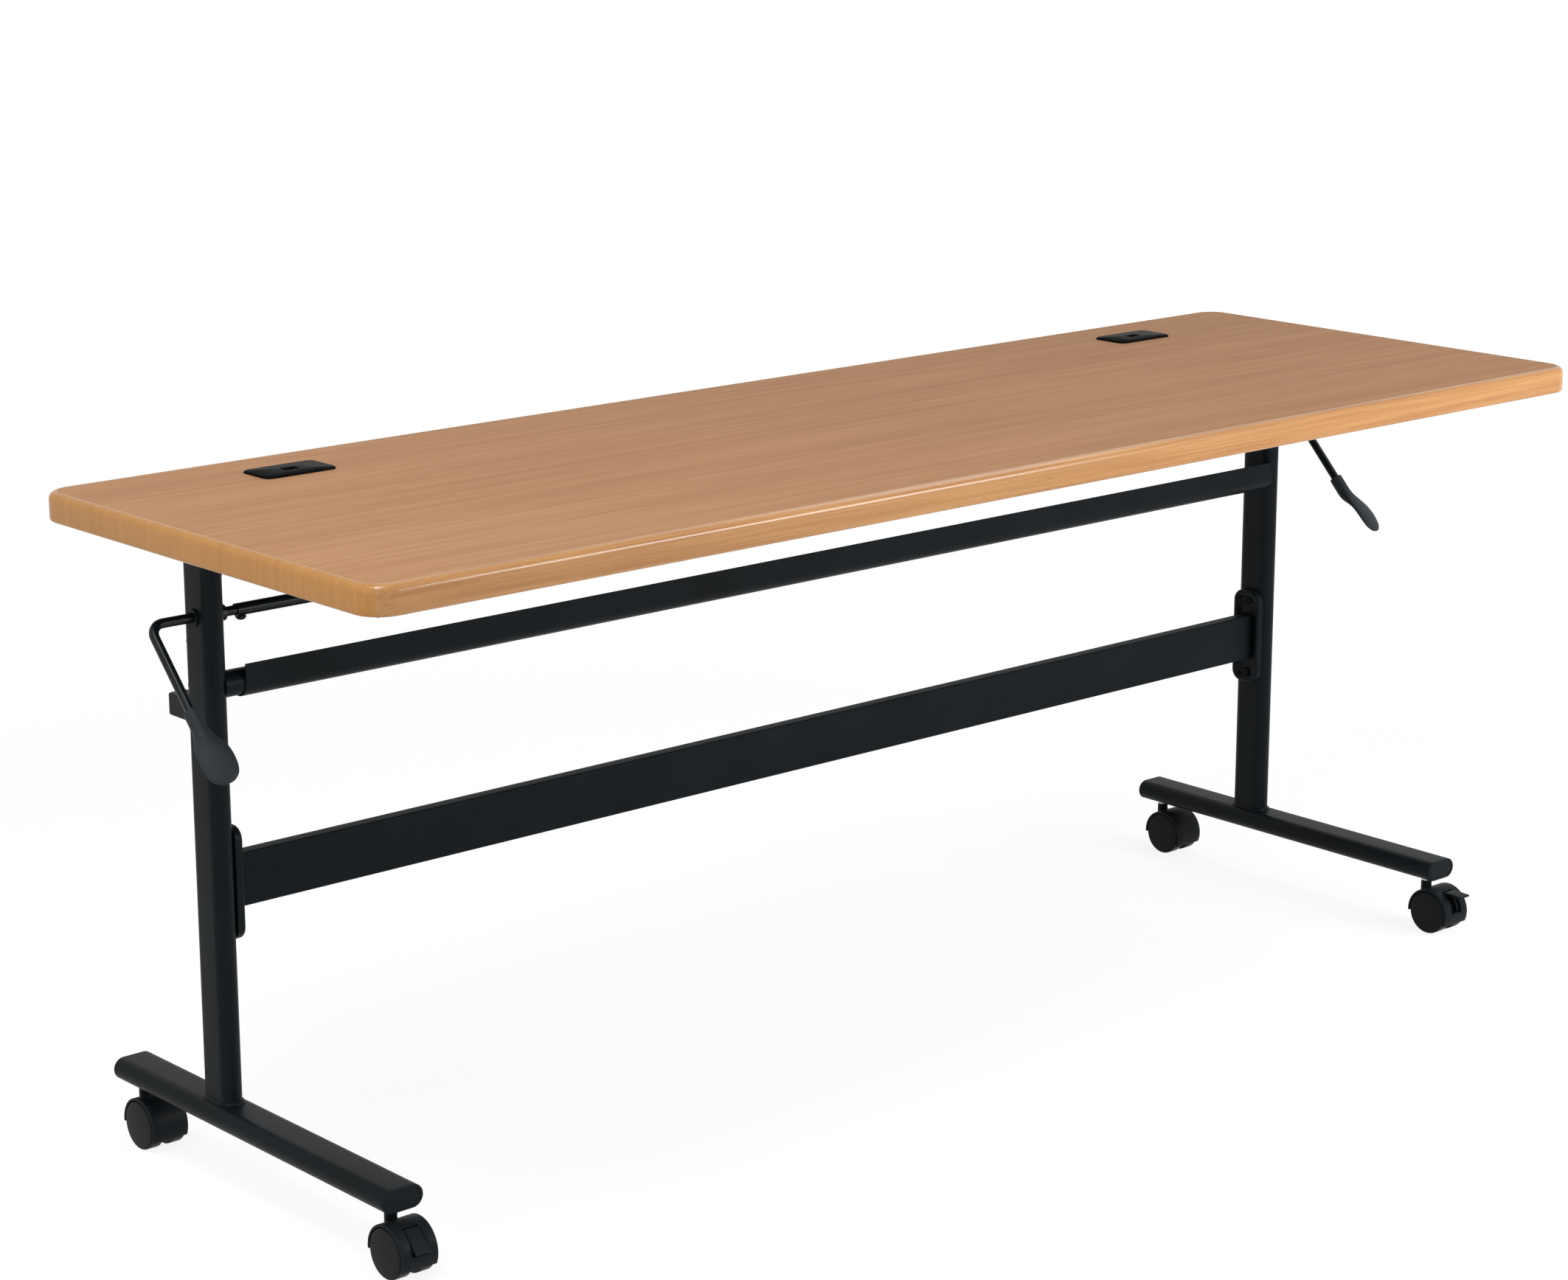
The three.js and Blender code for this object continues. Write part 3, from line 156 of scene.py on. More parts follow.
    # Casters
    wheel: length("Wheel", "Radius of a caster wheel", 27.5)
    wheel_bore: length("Wheel bore depth", "Depth of a wheel's bore for the axle", 12.5)
    tread_round: length("Tread round", "Round along a wheel's inner edge", 1.6)
    face_round: length("Wheel face round", "Round along a wheel's outer edge", 2.4)
    face_crown: length("Wheel face crown", "How far a wheel's face swells past its rounded edge", 0.5)
    axle: length("Axle", "Radius of a caster's axle", 3)
    axle_reach: length("Axle reach", "From a caster's middle to the end of its axle", 18.2)
    stem_collar: length("Stem collar", "Radius of the bare collar on a caster's stem", 6.3)
    collar_height: length("Collar height", "Height of the bare collar on a caster's stem", 5.6)
    collar_foot: length("Collar foot chamfer", "Chamfer under the collar of a caster's stem", 0.4)
    collar_head: length("Collar head chamfer", "Chamfer on top of the collar of a caster's stem", 0.5)
    stem_pin: length("Stem pin", "Radius of a stem inside the foot", 5.2)
    stem_shank: length("Stem shank", "Radius of a stem inside the caster", 4)
    stem_chamfer: length("Stem chamfer", "Chamfer on the end of a stem", 0.8)
    hood_wall: length("Hood wall", "Thickness of a caster's fender", 3)
    hood_clear: length("Hood clearance", "Gap between a wheel and its fender", 0.8)
    hood_edge: length("Hood edge", "Bevel along the edges of a caster's fender", 0.7)
    hood_width: length("Hood width", "Width of a caster's fender", 44)
    hood_web: length("Hood web", "Half the thickness of the web between the wheels", 5.2)
    hood_hub: length("Hood hub", "Radius of the web's hub round the axle", 8)
    hood_boss: length("Hood boss", "Radius of the sleeve round a caster's stem", 6.9)
    boss_depth: length("Boss depth", "Depth of the sleeve's bore for the stem", 16)
    boss_floor: length("Boss floor", "Thickness under the sleeve's bore", 1)
    boss_chamfer: length("Boss chamfer", "Chamfer on top of the sleeve", 0.8)
    boss_sink: length("Boss sink", "How far the sleeve sinks into the fender", 1.2)
    hood_back: angle("Hood back", "Where the fender ends at the back", -5)
    hood_front: angle("Hood front", "Where the fender ends at the front", 205)
    slot_start: angle("Pedal slot start", "Upper end of the brake pedal's slot", 113)
    slot_end: angle("Pedal slot end", "Lower end of the brake pedal's slot", 176)
    slot_half: length("Pedal slot half width", "Half the width of the brake pedal's slot", 10)
    slot_sink: length("Pedal slot sink", "Depth of the web's cut-out behind a pedal, below the tread", 6)
    pedal_half: length("Pedal half width", "Half the width of a brake pedal", 9)
    pedal_edge: length("Pedal edge", "Bevel along the edges of a brake pedal", 0.6)
    pedal_pin: length("Pedal pin", "Radius of a brake pedal's pin", 1)
    pedal_reach: length("Pedal pin reach", "How far a pedal's pin goes past its slot", 2)
    pedal_raise: angle("Pedal raise", "How far the right brake pedal is raised from its slot", 47)


class TableColours(bpy.types.PropertyGroup):
    laminate_dark: colour("Laminate dark", "Darker grain of the top", (0.355, 0.168, 0.076))
    laminate_light: colour("Laminate light", "Lighter grain of the top", (0.490, 0.260, 0.130))
    band_dark: colour("Band dark", "Darker grain of the edge band", (0.378, 0.160, 0.042))
    band_light: colour("Band light", "Lighter grain of the edge band", (0.505, 0.248, 0.078))
    backer: colour("Backer", "Sheet on the underside of the top", (0.014, 0.014, 0.015))
    powder_coat: colour("Powder coat", "Paint on the frame", (0.0054, 0.0076, 0.0092))
    sandy_coat: colour("Sandy coat", "Grained paint on the lower crossbar", (0.0058, 0.0080, 0.0096))
    plastic: colour("Plastic", "Moulded plastic pieces", (0.0080, 0.0102, 0.0120))
    gloss_plastic: colour("Gloss plastic", "Grommet covers", (0.0046, 0.0050, 0.0056))
    grip: colour("Grips", "Moulded lever grips", (0.0210, 0.0255, 0.0292))
    wheel: colour("Wheels", "Caster wheels", (0.0060, 0.0076, 0.0090))
    dark_steel: colour("Dark steel", "Black plated screws and latch", (0.020, 0.022, 0.025))
    bright_steel: colour("Bright steel", "Zinc plated stems, bolts and spring", (0.42, 0.43, 0.44))


class TableStage(bpy.types.PropertyGroup):
    eye: FloatVectorProperty(name="Camera place", description="Where the camera stands", size=3,
                             unit="LENGTH", default=(-2.8191, -3.0559, 1.5318))
    yaw: number("Camera yaw", "Turn from looking along the table's depth, in radians", 0.7214)
    pitch: number("Camera pitch", "Tilt down, in radians", 0.2456)
    roll: number("Camera roll", "Turn about the line of sight, in radians", -0.0015)
    lens: number("Lens", "Focal length on a sensor 36 mm wide", 84.075)
    key: number("Key light", "Power of the light above the left end", 28)
    strip: number("Strip light", "Power of the long light above the right end", 9)
    front: number("Front light", "Power of the light at the right of the front", 25)
    edge: number("Edge light", "Power of the light that shines on the left of the front edge", 18)
    side: number("Side light", "Power of the light at the left end", 8)
    world: number("World light", "Strength of the even light from all round", 0.36)
    floor: colour("Floor", "Colour of the floor", (0.86, 0.86, 0.86))
    floor_white: number("Floor white", "Strength of the floor's own white", 1.13)
    floor_share: number("Floor share", "Share of its own white that the floor shows near the table", 0.76)
    fade_near: number("Fade start", "Metres from the table where the floor begins to whiten", 1.6)
    fade_far: number("Fade end", "Metres from the table where the floor is all white", 5.0)


def sizes():
    return bpy.context.scene.table_sizes


def colours():
    return bpy.context.scene.table_colours


def middle(node):
    low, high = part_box(node)
    return (low + high) / 2


def joint_place(name):
    for joint in frame["joints"]:
        if joint["name"] == name:
            return Vector(joint["pos_m"])
    raise RuntimeError("no joint is called " + name)


# Outlines, rings and skins

def rounded_rectangle(width, height, radius, steps):
    points = []
    for quarter, (side_x, side_y) in enumerate(((1, 1), (-1, 1), (-1, -1), (1, -1))):
        for i in range(steps + 1):
            turn = (quarter + i / steps) * math.pi / 2
            points.append((side_x * (width / 2 - radius) + radius * math.cos(turn),
                           side_y * (height / 2 - radius) + radius * math.sin(turn)))
    return points


def circle(radius, count):
    return [(radius * math.cos(2 * math.pi * i / count), radius * math.sin(2 * math.pi * i / count))
            for i in range(count)]


def arc(centre, radius, start, end, steps):
    turns = [start + (end - start) * i / steps for i in range(steps + 1)]
    return [(centre[0] + radius * math.cos(t), centre[1] + radius * math.sin(t)) for t in turns]


def skin(rings, loop=False):
    count = len(rings[0])
    verts = [Vector(point) for ring in rings for point in ring]
    faces = []
    for i in range(len(rings) if loop else len(rings) - 1):
        here, there = i * count, (i + 1) % len(rings) * count
        for j in range(count):
            k = (j + 1) % count
            faces.append((here + j, here + k, there + k, there + j))
    if not loop:
        last = (len(rings) - 1) * count
        faces.append(tuple(range(count - 1, -1, -1)))
        faces.append(tuple(range(last, last + count)))
    return verts, faces


def prism_x(outline, low, high):
    return skin([[(x, y, z) for y, z in outline] for x in (low, high)])


def turned(profile, place, axis, count):
    """Skin of a solid turned about an axis, from pairs of radius and height that start and end on it."""
    turn = Vector((0, 0, 1)).rotation_difference(Vector(axis))
    place = Vector(place)
    verts = [place + turn @ Vector((0, 0, profile[0][1]))]
    faces = []
    rings = profile[1:-1]
    for radius, height in rings:
        verts += [place + turn @ Vector((x, y, height)) for x, y in circle(radius, count)]
    verts.append(place + turn @ Vector((0, 0, profile[-1][1])))
    last = len(verts) - 1
    for j in range(count):
        k = (j + 1) % count
        faces.append((0, 1 + k, 1 + j))
        for i in range(len(rings) - 1):
            here, there = 1 + i * count, 1 + (i + 1) * count
            faces.append((here + j, here + k, there + k, there + j))
        end = 1 + (len(rings) - 1) * count
        faces.append((last, end + j, end + k))
    return verts, faces


def together(*skins):
    verts, faces = [], []
    for some_verts, some_faces in skins:
        start = len(verts)
        verts += some_verts
        faces += [tuple(start + i for i in face) for face in some_faces]
    return verts, faces


def mirrored(shape):
    verts, faces = shape
    return [Vector((-v.x, v.y, v.z)) for v in verts], [tuple(reversed(face)) for face in faces]


def on_side(side, shape):
    return mirrored(shape) if side == "left" else shape


def piece(name, shape, body, finishes, nodes=(), bevel=0.0, smooth=35, solid=0.0):
    """Object from a skin, with its finishes, carried by a body of the frame."""
    mesh = bpy.data.meshes.new(name)
    mesh.from_pydata([tuple(v) for v in shape[0]], [], shape[1])
    form = bmesh.new()
    form.from_mesh(mesh)
    bmesh.ops.remove_doubles(form, verts=form.verts, dist=1e-6)
    bmesh.ops.dissolve_degenerate(form, edges=form.edges, dist=1e-7)
    if not solid:
        bmesh.ops.recalc_face_normals(form, faces=form.faces)
    form.to_mesh(mesh)
    form.free()
    for each in finishes:
        mesh.materials.append(finish(each))
    mesh.shade_smooth()
    mesh.set_sharp_from_angle(angle=math.radians(smooth))
    made = bpy.data.objects.new(name, mesh)
    bpy.context.collection.objects.link(made)
    if solid:
        shell = made.modifiers.new("Wall", "SOLIDIFY")
        shell.thickness = solid
        shell.offset = -1
    if bevel:
        edge = made.modifiers.new("Edge", "BEVEL")
        edge.width = bevel
        edge.segments = 3
        edge.limit_method = "ANGLE"
        edge.angle_limit = math.radians(40)
        edge.use_clamp_overlap = True
    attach(made, body)
    if nodes:
        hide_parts(*nodes)
    return made


def finish_node(node, name):
    material = finish(name)
    slots = frame["nodes"][node].material_slots
    if not slots:
        frame["nodes"][node].data.materials.append(material)
    for slot in slots:
        slot.material = material


# Finishes

class Finish:
    """A node material under way: its tree, its shader and the piece's own coordinates."""

    def __init__(self, name):
        self.material = bpy.data.materials.new(name)
        self.material.use_nodes = True
        self.tree = self.material.node_tree
        self.shader = self.tree.nodes["Principled BSDF"]
        self.place = self.add("ShaderNodeTexCoord").outputs["Object"]

    def add(self, kind, **values):
        node = self.tree.nodes.new(kind)
        for key, value in values.items():
            if hasattr(node, key):
                setattr(node, key, value)
            else:
                node.inputs[key].default_value = value
        return node

    def link(self, source, target):
        self.tree.links.new(source, target)

    def stretched(self, scale):
        mapping = self.add("ShaderNodeMapping")
        mapping.inputs["Scale"].default_value = scale
        self.link(self.place, mapping.inputs["Vector"])
        return mapping.outputs["Vector"]

    def noise(self, scale, detail, stretch=None):
        node = self.add("ShaderNodeTexNoise", Scale=scale, Detail=detail)
        self.link(self.stretched(stretch) if stretch else self.place, node.inputs["Vector"])
        return node.outputs["Fac"]

    def ramp(self, source, low, high, start=0.3, end=0.7):
        node = self.add("ShaderNodeValToRGB")
        node.color_ramp.elements[0].position = start
        node.color_ramp.elements[0].color = (*low, 1)
        node.color_ramp.elements[1].position = end
        node.color_ramp.elements[1].color = (*high, 1)
        self.link(source, node.inputs["Fac"])
        return node.outputs["Color"]

    def between(self, source, low, high):
        node = self.add("ShaderNodeMapRange")
        node.inputs["To Min"].default_value = low
        node.inputs["To Max"].default_value = high
        self.link(source, node.inputs["Value"])
        return node.outputs["Result"]

    def weighed(self, layers):
        total = None
        for source, share in layers:
            node = self.add("ShaderNodeMath", operation="MULTIPLY_ADD")
            node.inputs[1].default_value = share
            node.inputs[2].default_value = 0
            self.link(source, node.inputs[0])
            if total:
                self.link(total, node.inputs[2])
            total = node.outputs[0]
        return total

    def mixed(self, share, first, second):
        node = self.add("ShaderNodeMix", data_type="RGBA")
        self.link(share, node.inputs[0])
        self.link(first, node.inputs[6])
        self.link(second, node.inputs[7])
        return node.outputs[2]

    def bump(self, source, strength, distance):
        node = self.add("ShaderNodeBump", Strength=strength, Distance=distance)
        self.link(source, node.inputs["Height"])
        self.link(node.outputs["Normal"], self.shader.inputs["Normal"])


# Layers of wood grain: how fine across the grain, how fine along it, and the share of the whole
GRAIN_LAYERS = ((620.0, 7.0, 0.34), (130.0, 4.0, 0.42), (16.0, 0.8, 0.24))

# Pores of the wood: how fine across and along the grain, how strongly they show, and how dark they are
PORES_ACROSS = 1100.0
PORES_ALONG = 80.0
PORE_DEPTH = 0.4
PORE_SHADE = 0.55


def along_grain(axis, across, along):
    stretch = [across] * 3
    stretch[axis] = along
    return stretch


def wood_grain(name, dark, light, axis, roughness, specular, contrast):
    """Straight grain along one axis: fine lines, longer streaks, slow changes of tone and short pores."""
    look = Finish(name)
    light = getattr(colours(), light)
    dark = [b + (a - b) * contrast for a, b in zip(getattr(colours(), dark), light)]
    layers = []
    for across, along, share in GRAIN_LAYERS:
        lines = look.noise(scale=1.0, detail=2.0, stretch=along_grain(axis, across, along))
        layers.append((lines, share))
    fine_lines = layers[0][0]
    wood = look.ramp(look.weighed(layers), dark, light, start=0.4, end=0.6)
    pore = look.noise(scale=1.0, detail=1.0, stretch=along_grain(axis, PORES_ACROSS, PORES_ALONG))
    speck = look.ramp(pore, [PORE_DEPTH * contrast] * 3, (0, 0, 0), start=0.27, end=0.34)
    shade = look.add("ShaderNodeRGB")
    shade.outputs[0].default_value = (*[PORE_SHADE * value for value in dark], 1)
    shader = look.shader.inputs
    look.link(look.mixed(speck, wood, shade.outputs[0]), shader["Base Color"])
    look.link(look.between(fine_lines, low=roughness - 0.04, high=roughness + 0.06), shader["Roughness"])
    shader["Specular IOR Level"].default_value = specular
    look.bump(fine_lines, strength=0.04, distance=0.0002)
    return look.material


def coat(name, tone, roughness, grain, depth, specular=0.07, metallic=0.0, spread=0.25):
    """Fine even grain of paint, moulded plastic or plated steel, with a slow change of tone."""
    look = Finish(name)
    tone = getattr(colours(), tone)
    slow = look.noise(scale=9.0, detail=3.0)
    speckle = look.noise(scale=grain, detail=2.0)
    low = [value * (1 - spread) for value in tone]
    high = [min(1.0, value * (1 + spread)) for value in tone]
    shader = look.shader.inputs
    look.link(look.ramp(slow, low, high), shader["Base Color"])
    look.link(look.between(speckle, low=roughness - 0.07, high=roughness + 0.07), shader["Roughness"])
    shader["Metallic"].default_value = metallic
    shader["Specular IOR Level"].default_value = specular
    look.bump(speckle, strength=0.25, distance=depth)
    return look.material


WOODS = {
    "laminate": dict(dark="laminate_dark", light="laminate_light", axis=0,
                     roughness=0.5, specular=0.04, contrast=0.65),
    "band_long": dict(dark="band_dark", light="band_light", axis=0,
                      roughness=0.2, specular=0.6, contrast=1.0),
    "band_end": dict(dark="band_dark", light="band_light", axis=2,
                     roughness=0.17, specular=0.14, contrast=0.45),
}

COATS = {
    "backer": dict(tone="backer", roughness=0.62, grain=500.0, depth=0.0001),
    "powder_coat": dict(tone="powder_coat", roughness=0.42, grain=1400.0, depth=0.00012),
    "gloss_coat": dict(tone="powder_coat", roughness=0.3, grain=300.0, depth=0.00001, specular=0.2),
    "sandy_coat": dict(tone="sandy_coat", roughness=0.55, grain=900.0, depth=0.0003),
    "plastic": dict(tone="plastic", roughness=0.46, grain=2200.0, depth=0.00008),
    "gloss_plastic": dict(tone="gloss_plastic", roughness=0.32, grain=2200.0, depth=0.00002,
                          specular=0.004),
    "grip": dict(tone="grip", roughness=0.6, grain=1600.0, depth=0.00015, specular=0.2),
    "wheel": dict(tone="wheel", roughness=0.36, grain=1500.0, depth=0.00005),
    "dark_steel": dict(tone="dark_steel", roughness=0.36, grain=800.0, depth=0.00004,
                       specular=0.2, metallic=0.6),
    "bright_steel": dict(tone="bright_steel", roughness=0.28, grain=900.0, depth=0.00003,
                         specular=0.5, metallic=1.0, spread=0.12),
}

FINISHES = {}


def finish(name):
    if name not in FINISHES:
        FINISHES[name] = wood_grain(name, **WOODS[name]) if name in WOODS else coat(name, **COATS[name])
    return FINISHES[name]


def dome(place, axis, head, height):
    """Domed screw head with a round socket sunk in its crown."""
    shank, root = 0.4 * head, -0.4 * height
    profile = [(0, root), (shank, root), (shank, 0), (head, 0), (head, 0.12 * height)]
    for i in range(1, 7):
        turn = math.radians(8 + 62 * i / 6)
        profile.append((head * math.cos(turn), height * (0.1 + 0.9 * math.sin(turn))))
    profile += [(0.3 * head, 0.9 * height), (0.28 * head, 0.55 * height), (0, 0.5 * height)]
    return turned(profile, place, axis, 30)


# Table top

class TABLE_OT_board(bpy.types.Operator):
    """Laminate board with its grommet cut-outs, and the rounded edge band"""
    bl_idname = "table.board"
    bl_label = "Board and edge band"

    def execute(self, context):
        self.board()
        self.band()
        return {"FINISHED"}

    def board(self):
        s = sizes()
        low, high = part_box("table_top")
        centre, extent = (low + high) / 2, high - low
        form = bmesh.new()
        loops = [[(centre.x + x, centre.y + y) for x, y in
                  rounded_rectangle(extent.x, extent.y, s.corner - s.band - s.fit, 12)]]
        for side in SIDES:
            start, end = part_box(side + "_grommet_cover")
            wide = end.x - start.x - 2 * s.grommet_lip
            deep = end.y - start.y - 2 * s.grommet_lip
            hole = rounded_rectangle(wide, deep, s.grommet_corner - s.grommet_lip / 2, 6)
            loops.append([((start.x + end.x) / 2 + x, (start.y + end.y) / 2 + y) for x, y in hole])
        edges = []
        for points in loops:
            verts = [form.verts.new((x, y, high.z)) for x, y in points]
            edges += [form.edges.new((verts[i - 1], verts[i])) for i in range(len(verts))]
        bmesh.ops.triangle_fill(form, use_beauty=True, edges=edges)
        fill = bmesh.ops.extrude_face_region(form, geom=form.faces[:])
        lower = [item for item in fill["geom"] if isinstance(item, bmesh.types.BMVert)]
        bmesh.ops.translate(form, verts=lower, vec=(0, 0, low.z - high.z))
        form.verts.index_update()
        verts = [v.co.copy() for v in form.verts]
        faces = [tuple(v.index for v in face.verts) for face in form.faces]
        form.free()
        made = piece("laminate_board", (verts, faces), "top", ["laminate", "backer"],
                     ["table_top"])
        for face in made.data.polygons:
            face.material_index = 0 if face.normal.z > 0.5 else 1

    def band(self):
        s = sizes()
        low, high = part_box("edge_band")
        centre, extent = (low + high) / 2, high - low
        section = [(s.band, low.z)]
        for i in range(5):
            turn = math.pi / 2 * i / 4
            section.append((s.band_bottom * (1 - math.sin(turn)),
                            low.z + s.band_bottom * (1 - math.cos(turn))))
        for i in range(9):
            turn = math.pi / 2 * i / 8
            section.append((s.band_top * (1 - math.cos(turn)), high.z - s.band_top * (1 - math.sin(turn))))
        section.append((s.band, high.z))
        rings = []
        for inset, z in section:
            edge = rounded_rectangle(extent.x - 2 * inset, extent.y - 2 * inset, s.corner - inset, 14)
            rings.append([(centre.x + x, centre.y + y, z) for x, y in edge])
        made = piece("wood_edge_band", skin(rings, True), "top",
                     ["band_long", "band_end"], ["edge_band"], smooth=50)
        for face in made.data.polygons:
            inside = face.center - centre
            past_x = abs(inside.x) - extent.x / 2 + s.corner
            past_y = abs(inside.y) - extent.y / 2 + s.corner
            face.material_index = 1 if past_x > past_y else 0


class TABLE_OT_grommets(bpy.types.Operator):
    """Black grommet covers with a finger hole, one near each back corner"""
    bl_idname = "table.grommets"
    bl_label = "Grommet covers"

    def execute(self, context):
        s = sizes()
        for side in SIDES:
            node = side + "_grommet_cover"
            low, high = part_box(node)
            centre, extent = (low + high) / 2, high - low
            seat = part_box("table_top")[1].z + s.fit

            def rim(inset, z):
                corner = max(s.grommet_corner - inset / 2, s.grommet_inner)
                edge = rounded_rectangle(extent.x - 2 * inset, extent.y - 2 * inset, corner, 10)
                return [(centre.x + x, centre.y + y, z) for x, y in edge]

            def hole(radius, z):
                turns = [math.atan2(y - centre.y, x - centre.x) for x, y, _ in rim(0, z)]
                return [(centre.x + radius * math.cos(t), centre.y + radius * math.sin(t), z)
                        for t in turns]

            bevel = s.grommet_bevel
            skirt = s.grommet_lip + s.fit
            inside = skirt + s.grommet_wall
            rings = [hole(s.grommet_hole + s.grommet_rim, high.z), rim(bevel + s.grommet_soft, high.z)]
            rings += [rim(bevel * 0.5, high.z - bevel * 0.4), rim(0, high.z - bevel)]
            rings += [rim(0, seat), rim(skirt, seat)]
            rings += [rim(skirt, low.z), rim(inside, low.z), rim(inside, seat)]
            rings += [hole(s.grommet_hole, seat), hole(s.grommet_hole, high.z - s.grommet_rim)]
            piece(side + "_cable_cover", skin(rings, True), "top",
                  ["gloss_plastic"], [node])
        return {"FINISHED"}


# Screws along the stiffener, as shares of its half length
STIFFENER_SCREWS = (-0.935, -0.609, 0.609, 0.935)


class TABLE_OT_under_top(bpy.types.Operator):
    """Arms, hinge brackets, latch plates and stiffener under the top, with their pan-head screws"""
    bl_idname = "table.under_top"
    bl_label = "Steelwork under the top"

    def execute(self, context):
        s = sizes()
        finish_node("centre_stiffener", "powder_coat")
        heads = []
        bar_low, bar_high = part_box("centre_stiffener")
        for share in STIFFENER_SCREWS:
            heads.append(Vector((share * bar_high.x, (bar_low.y + bar_high.y) / 2, bar_low.z)))
        for side in SIDES:
            finish_node(side + "_top_arm", "powder_coat")
            finish_node(side + "_hinge_bracket", "powder_coat")
            finish_node(side + "_latch_plate", "dark_steel")
            low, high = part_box(side + "_top_arm")
            x = (low.x + high.x) / 2
            for y in (low.y + s.arm_front_screw, high.y - s.arm_back_screw):
                heads.append(Vector((x, y, low.z)))
            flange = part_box(side + "_hinge_bracket")[1]
            for inset in (s.hinge_back_screw, s.hinge_front_screw):
                heads.append(Vector((x, flange.y - inset, flange.z - s.hinge_sheet)))
        for place, seat in enumerate(heads):
            shape = dome(seat, (0, 0, -1), s.pan_head, s.pan_height)
            piece("pan_screw_%d" % place, shape, "top", ["dark_steel"])
        return {"FINISHED"}


# Legs and feet

def flat_oval(wide_x, wide_y, grow):
    return rounded_rectangle(wide_x + 2 * grow, wide_y + 2 * grow, min(wide_x, wide_y) / 2 + grow, 12)


def foot_ring(centre, grow, y):
    s = sizes()
    return [(centre.x + x, y, centre.z + z) for x, z in flat_oval(s.tube_wide, s.tube_slim, grow)]


# Weld bead, from the foot up: how far out and how high, as shares of its size, and how much it ripples
WELD_STEPS = ((1, 0, 0), (0.92, 0.35, 0.006), (0.55, 0.85, 0.008), (0.15, 1.15, 0.004), (0, 1.2, 0))
WELD_RIPPLE = 2.1


class TABLE_OT_legs(bpy.types.Operator):
    """Flat-oval legs with their weld beads, feet and end caps"""
    bl_idname = "table.legs"
    bl_label = "Legs and feet"

    def execute(self, context):
        for side in SIDES:
            self.leg(side)
            self.foot(side)
            for end in ENDS:
                self.cap(side, end)
            finish_node(side + "_leg_head", "dark_steel")
            finish_node(side + "_pivot_bolt", "bright_steel")
            finish_node(side + "_lever_bush", "plastic")
        return {"FINISHED"}

    def leg(self, side):
        s = sizes()
        low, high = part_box("right_leg")
        centre = (low + high) / 2
        centre.x *= SIDES[side]

        def ring(grow, z, ripple=0.0):
            points = []
            for i, (x, y) in enumerate(flat_oval(s.tube_slim, s.tube_wide, grow)):
                wave = 1 + ripple * math.sin(i * WELD_RIPPLE)
                points.append((centre.x + x * wave, centre.y + y * wave, z))
            return points

        rings = [ring(s.weld * out, low.z + s.weld * up, ripple) for out, up, ripple in WELD_STEPS]
        rings += [ring(0, high.z), ring(-s.tube_wall, high.z), ring(-s.tube_wall, low.z)]
        shapes = [skin(rings, True)]
        if side == "left":
            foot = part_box("link_block")[0].z
            seat = centre.y + s.tube_wide / 2 - s.screw_seat
            shapes += [dome((centre.x, seat, foot + up), (0, 1, 0), s.link_head, s.link_height)
                       for up in (s.link_low, s.link_high)]
        piece(side + "_leg_tube", together(*shapes), "base", ["powder_coat"],
              [side + "_leg"])

    def foot(self, side):
        s = sizes()
        low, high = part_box(side + "_foot")
        centre = (low + high) / 2
        steps = ((0, low.y), (0, high.y), (-s.tube_wall, high.y), (-s.tube_wall, low.y))
        rings = [foot_ring(centre, grow, y) for grow, y in steps]
        piece(side + "_foot_tube", skin(rings, True), "base", ["powder_coat"],
              [side + "_foot"])

    def cap(self, side, end):
        s = sizes()
        node = side + "_" + end + "_foot_cap"
        low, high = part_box(node)
        centre = (low + high) / 2
        out = -1 if end == "front" else 1
        tip = low.y if end == "front" else high.y
        root = high.y if end == "front" else low.y
        seat = tip - out * s.cap_plate
        plug = -s.tube_wall - s.fit
        steps = [(plug, root), (plug, seat), (0, seat)]
        for i in range(5):
            turn = math.pi / 2 * i / 4
            inset = s.cap_round * (1 - math.cos(turn))
            steps.append((-inset, tip - out * s.cap_round * (1 - math.sin(turn))))
        steps += [(-s.cap_rim, tip), (-s.cap_rim - s.cap_slope, tip - out * s.cap_sink)]
        rings = [foot_ring(centre, grow, y) for grow, y in steps]
        piece(node.replace("foot_cap", "end_cap"), skin(rings), "base",
              ["plastic"], [node])


# Tubes and bars between the legs

# A bracket's dish in millimetres: in from the bracket's edge, and below the rim or above the dish's floor
DISH_LIP = ((6, 0), (7.4, 0.7))
DISH_FOOT = ((9.6, 0.6), (10.4, 0))


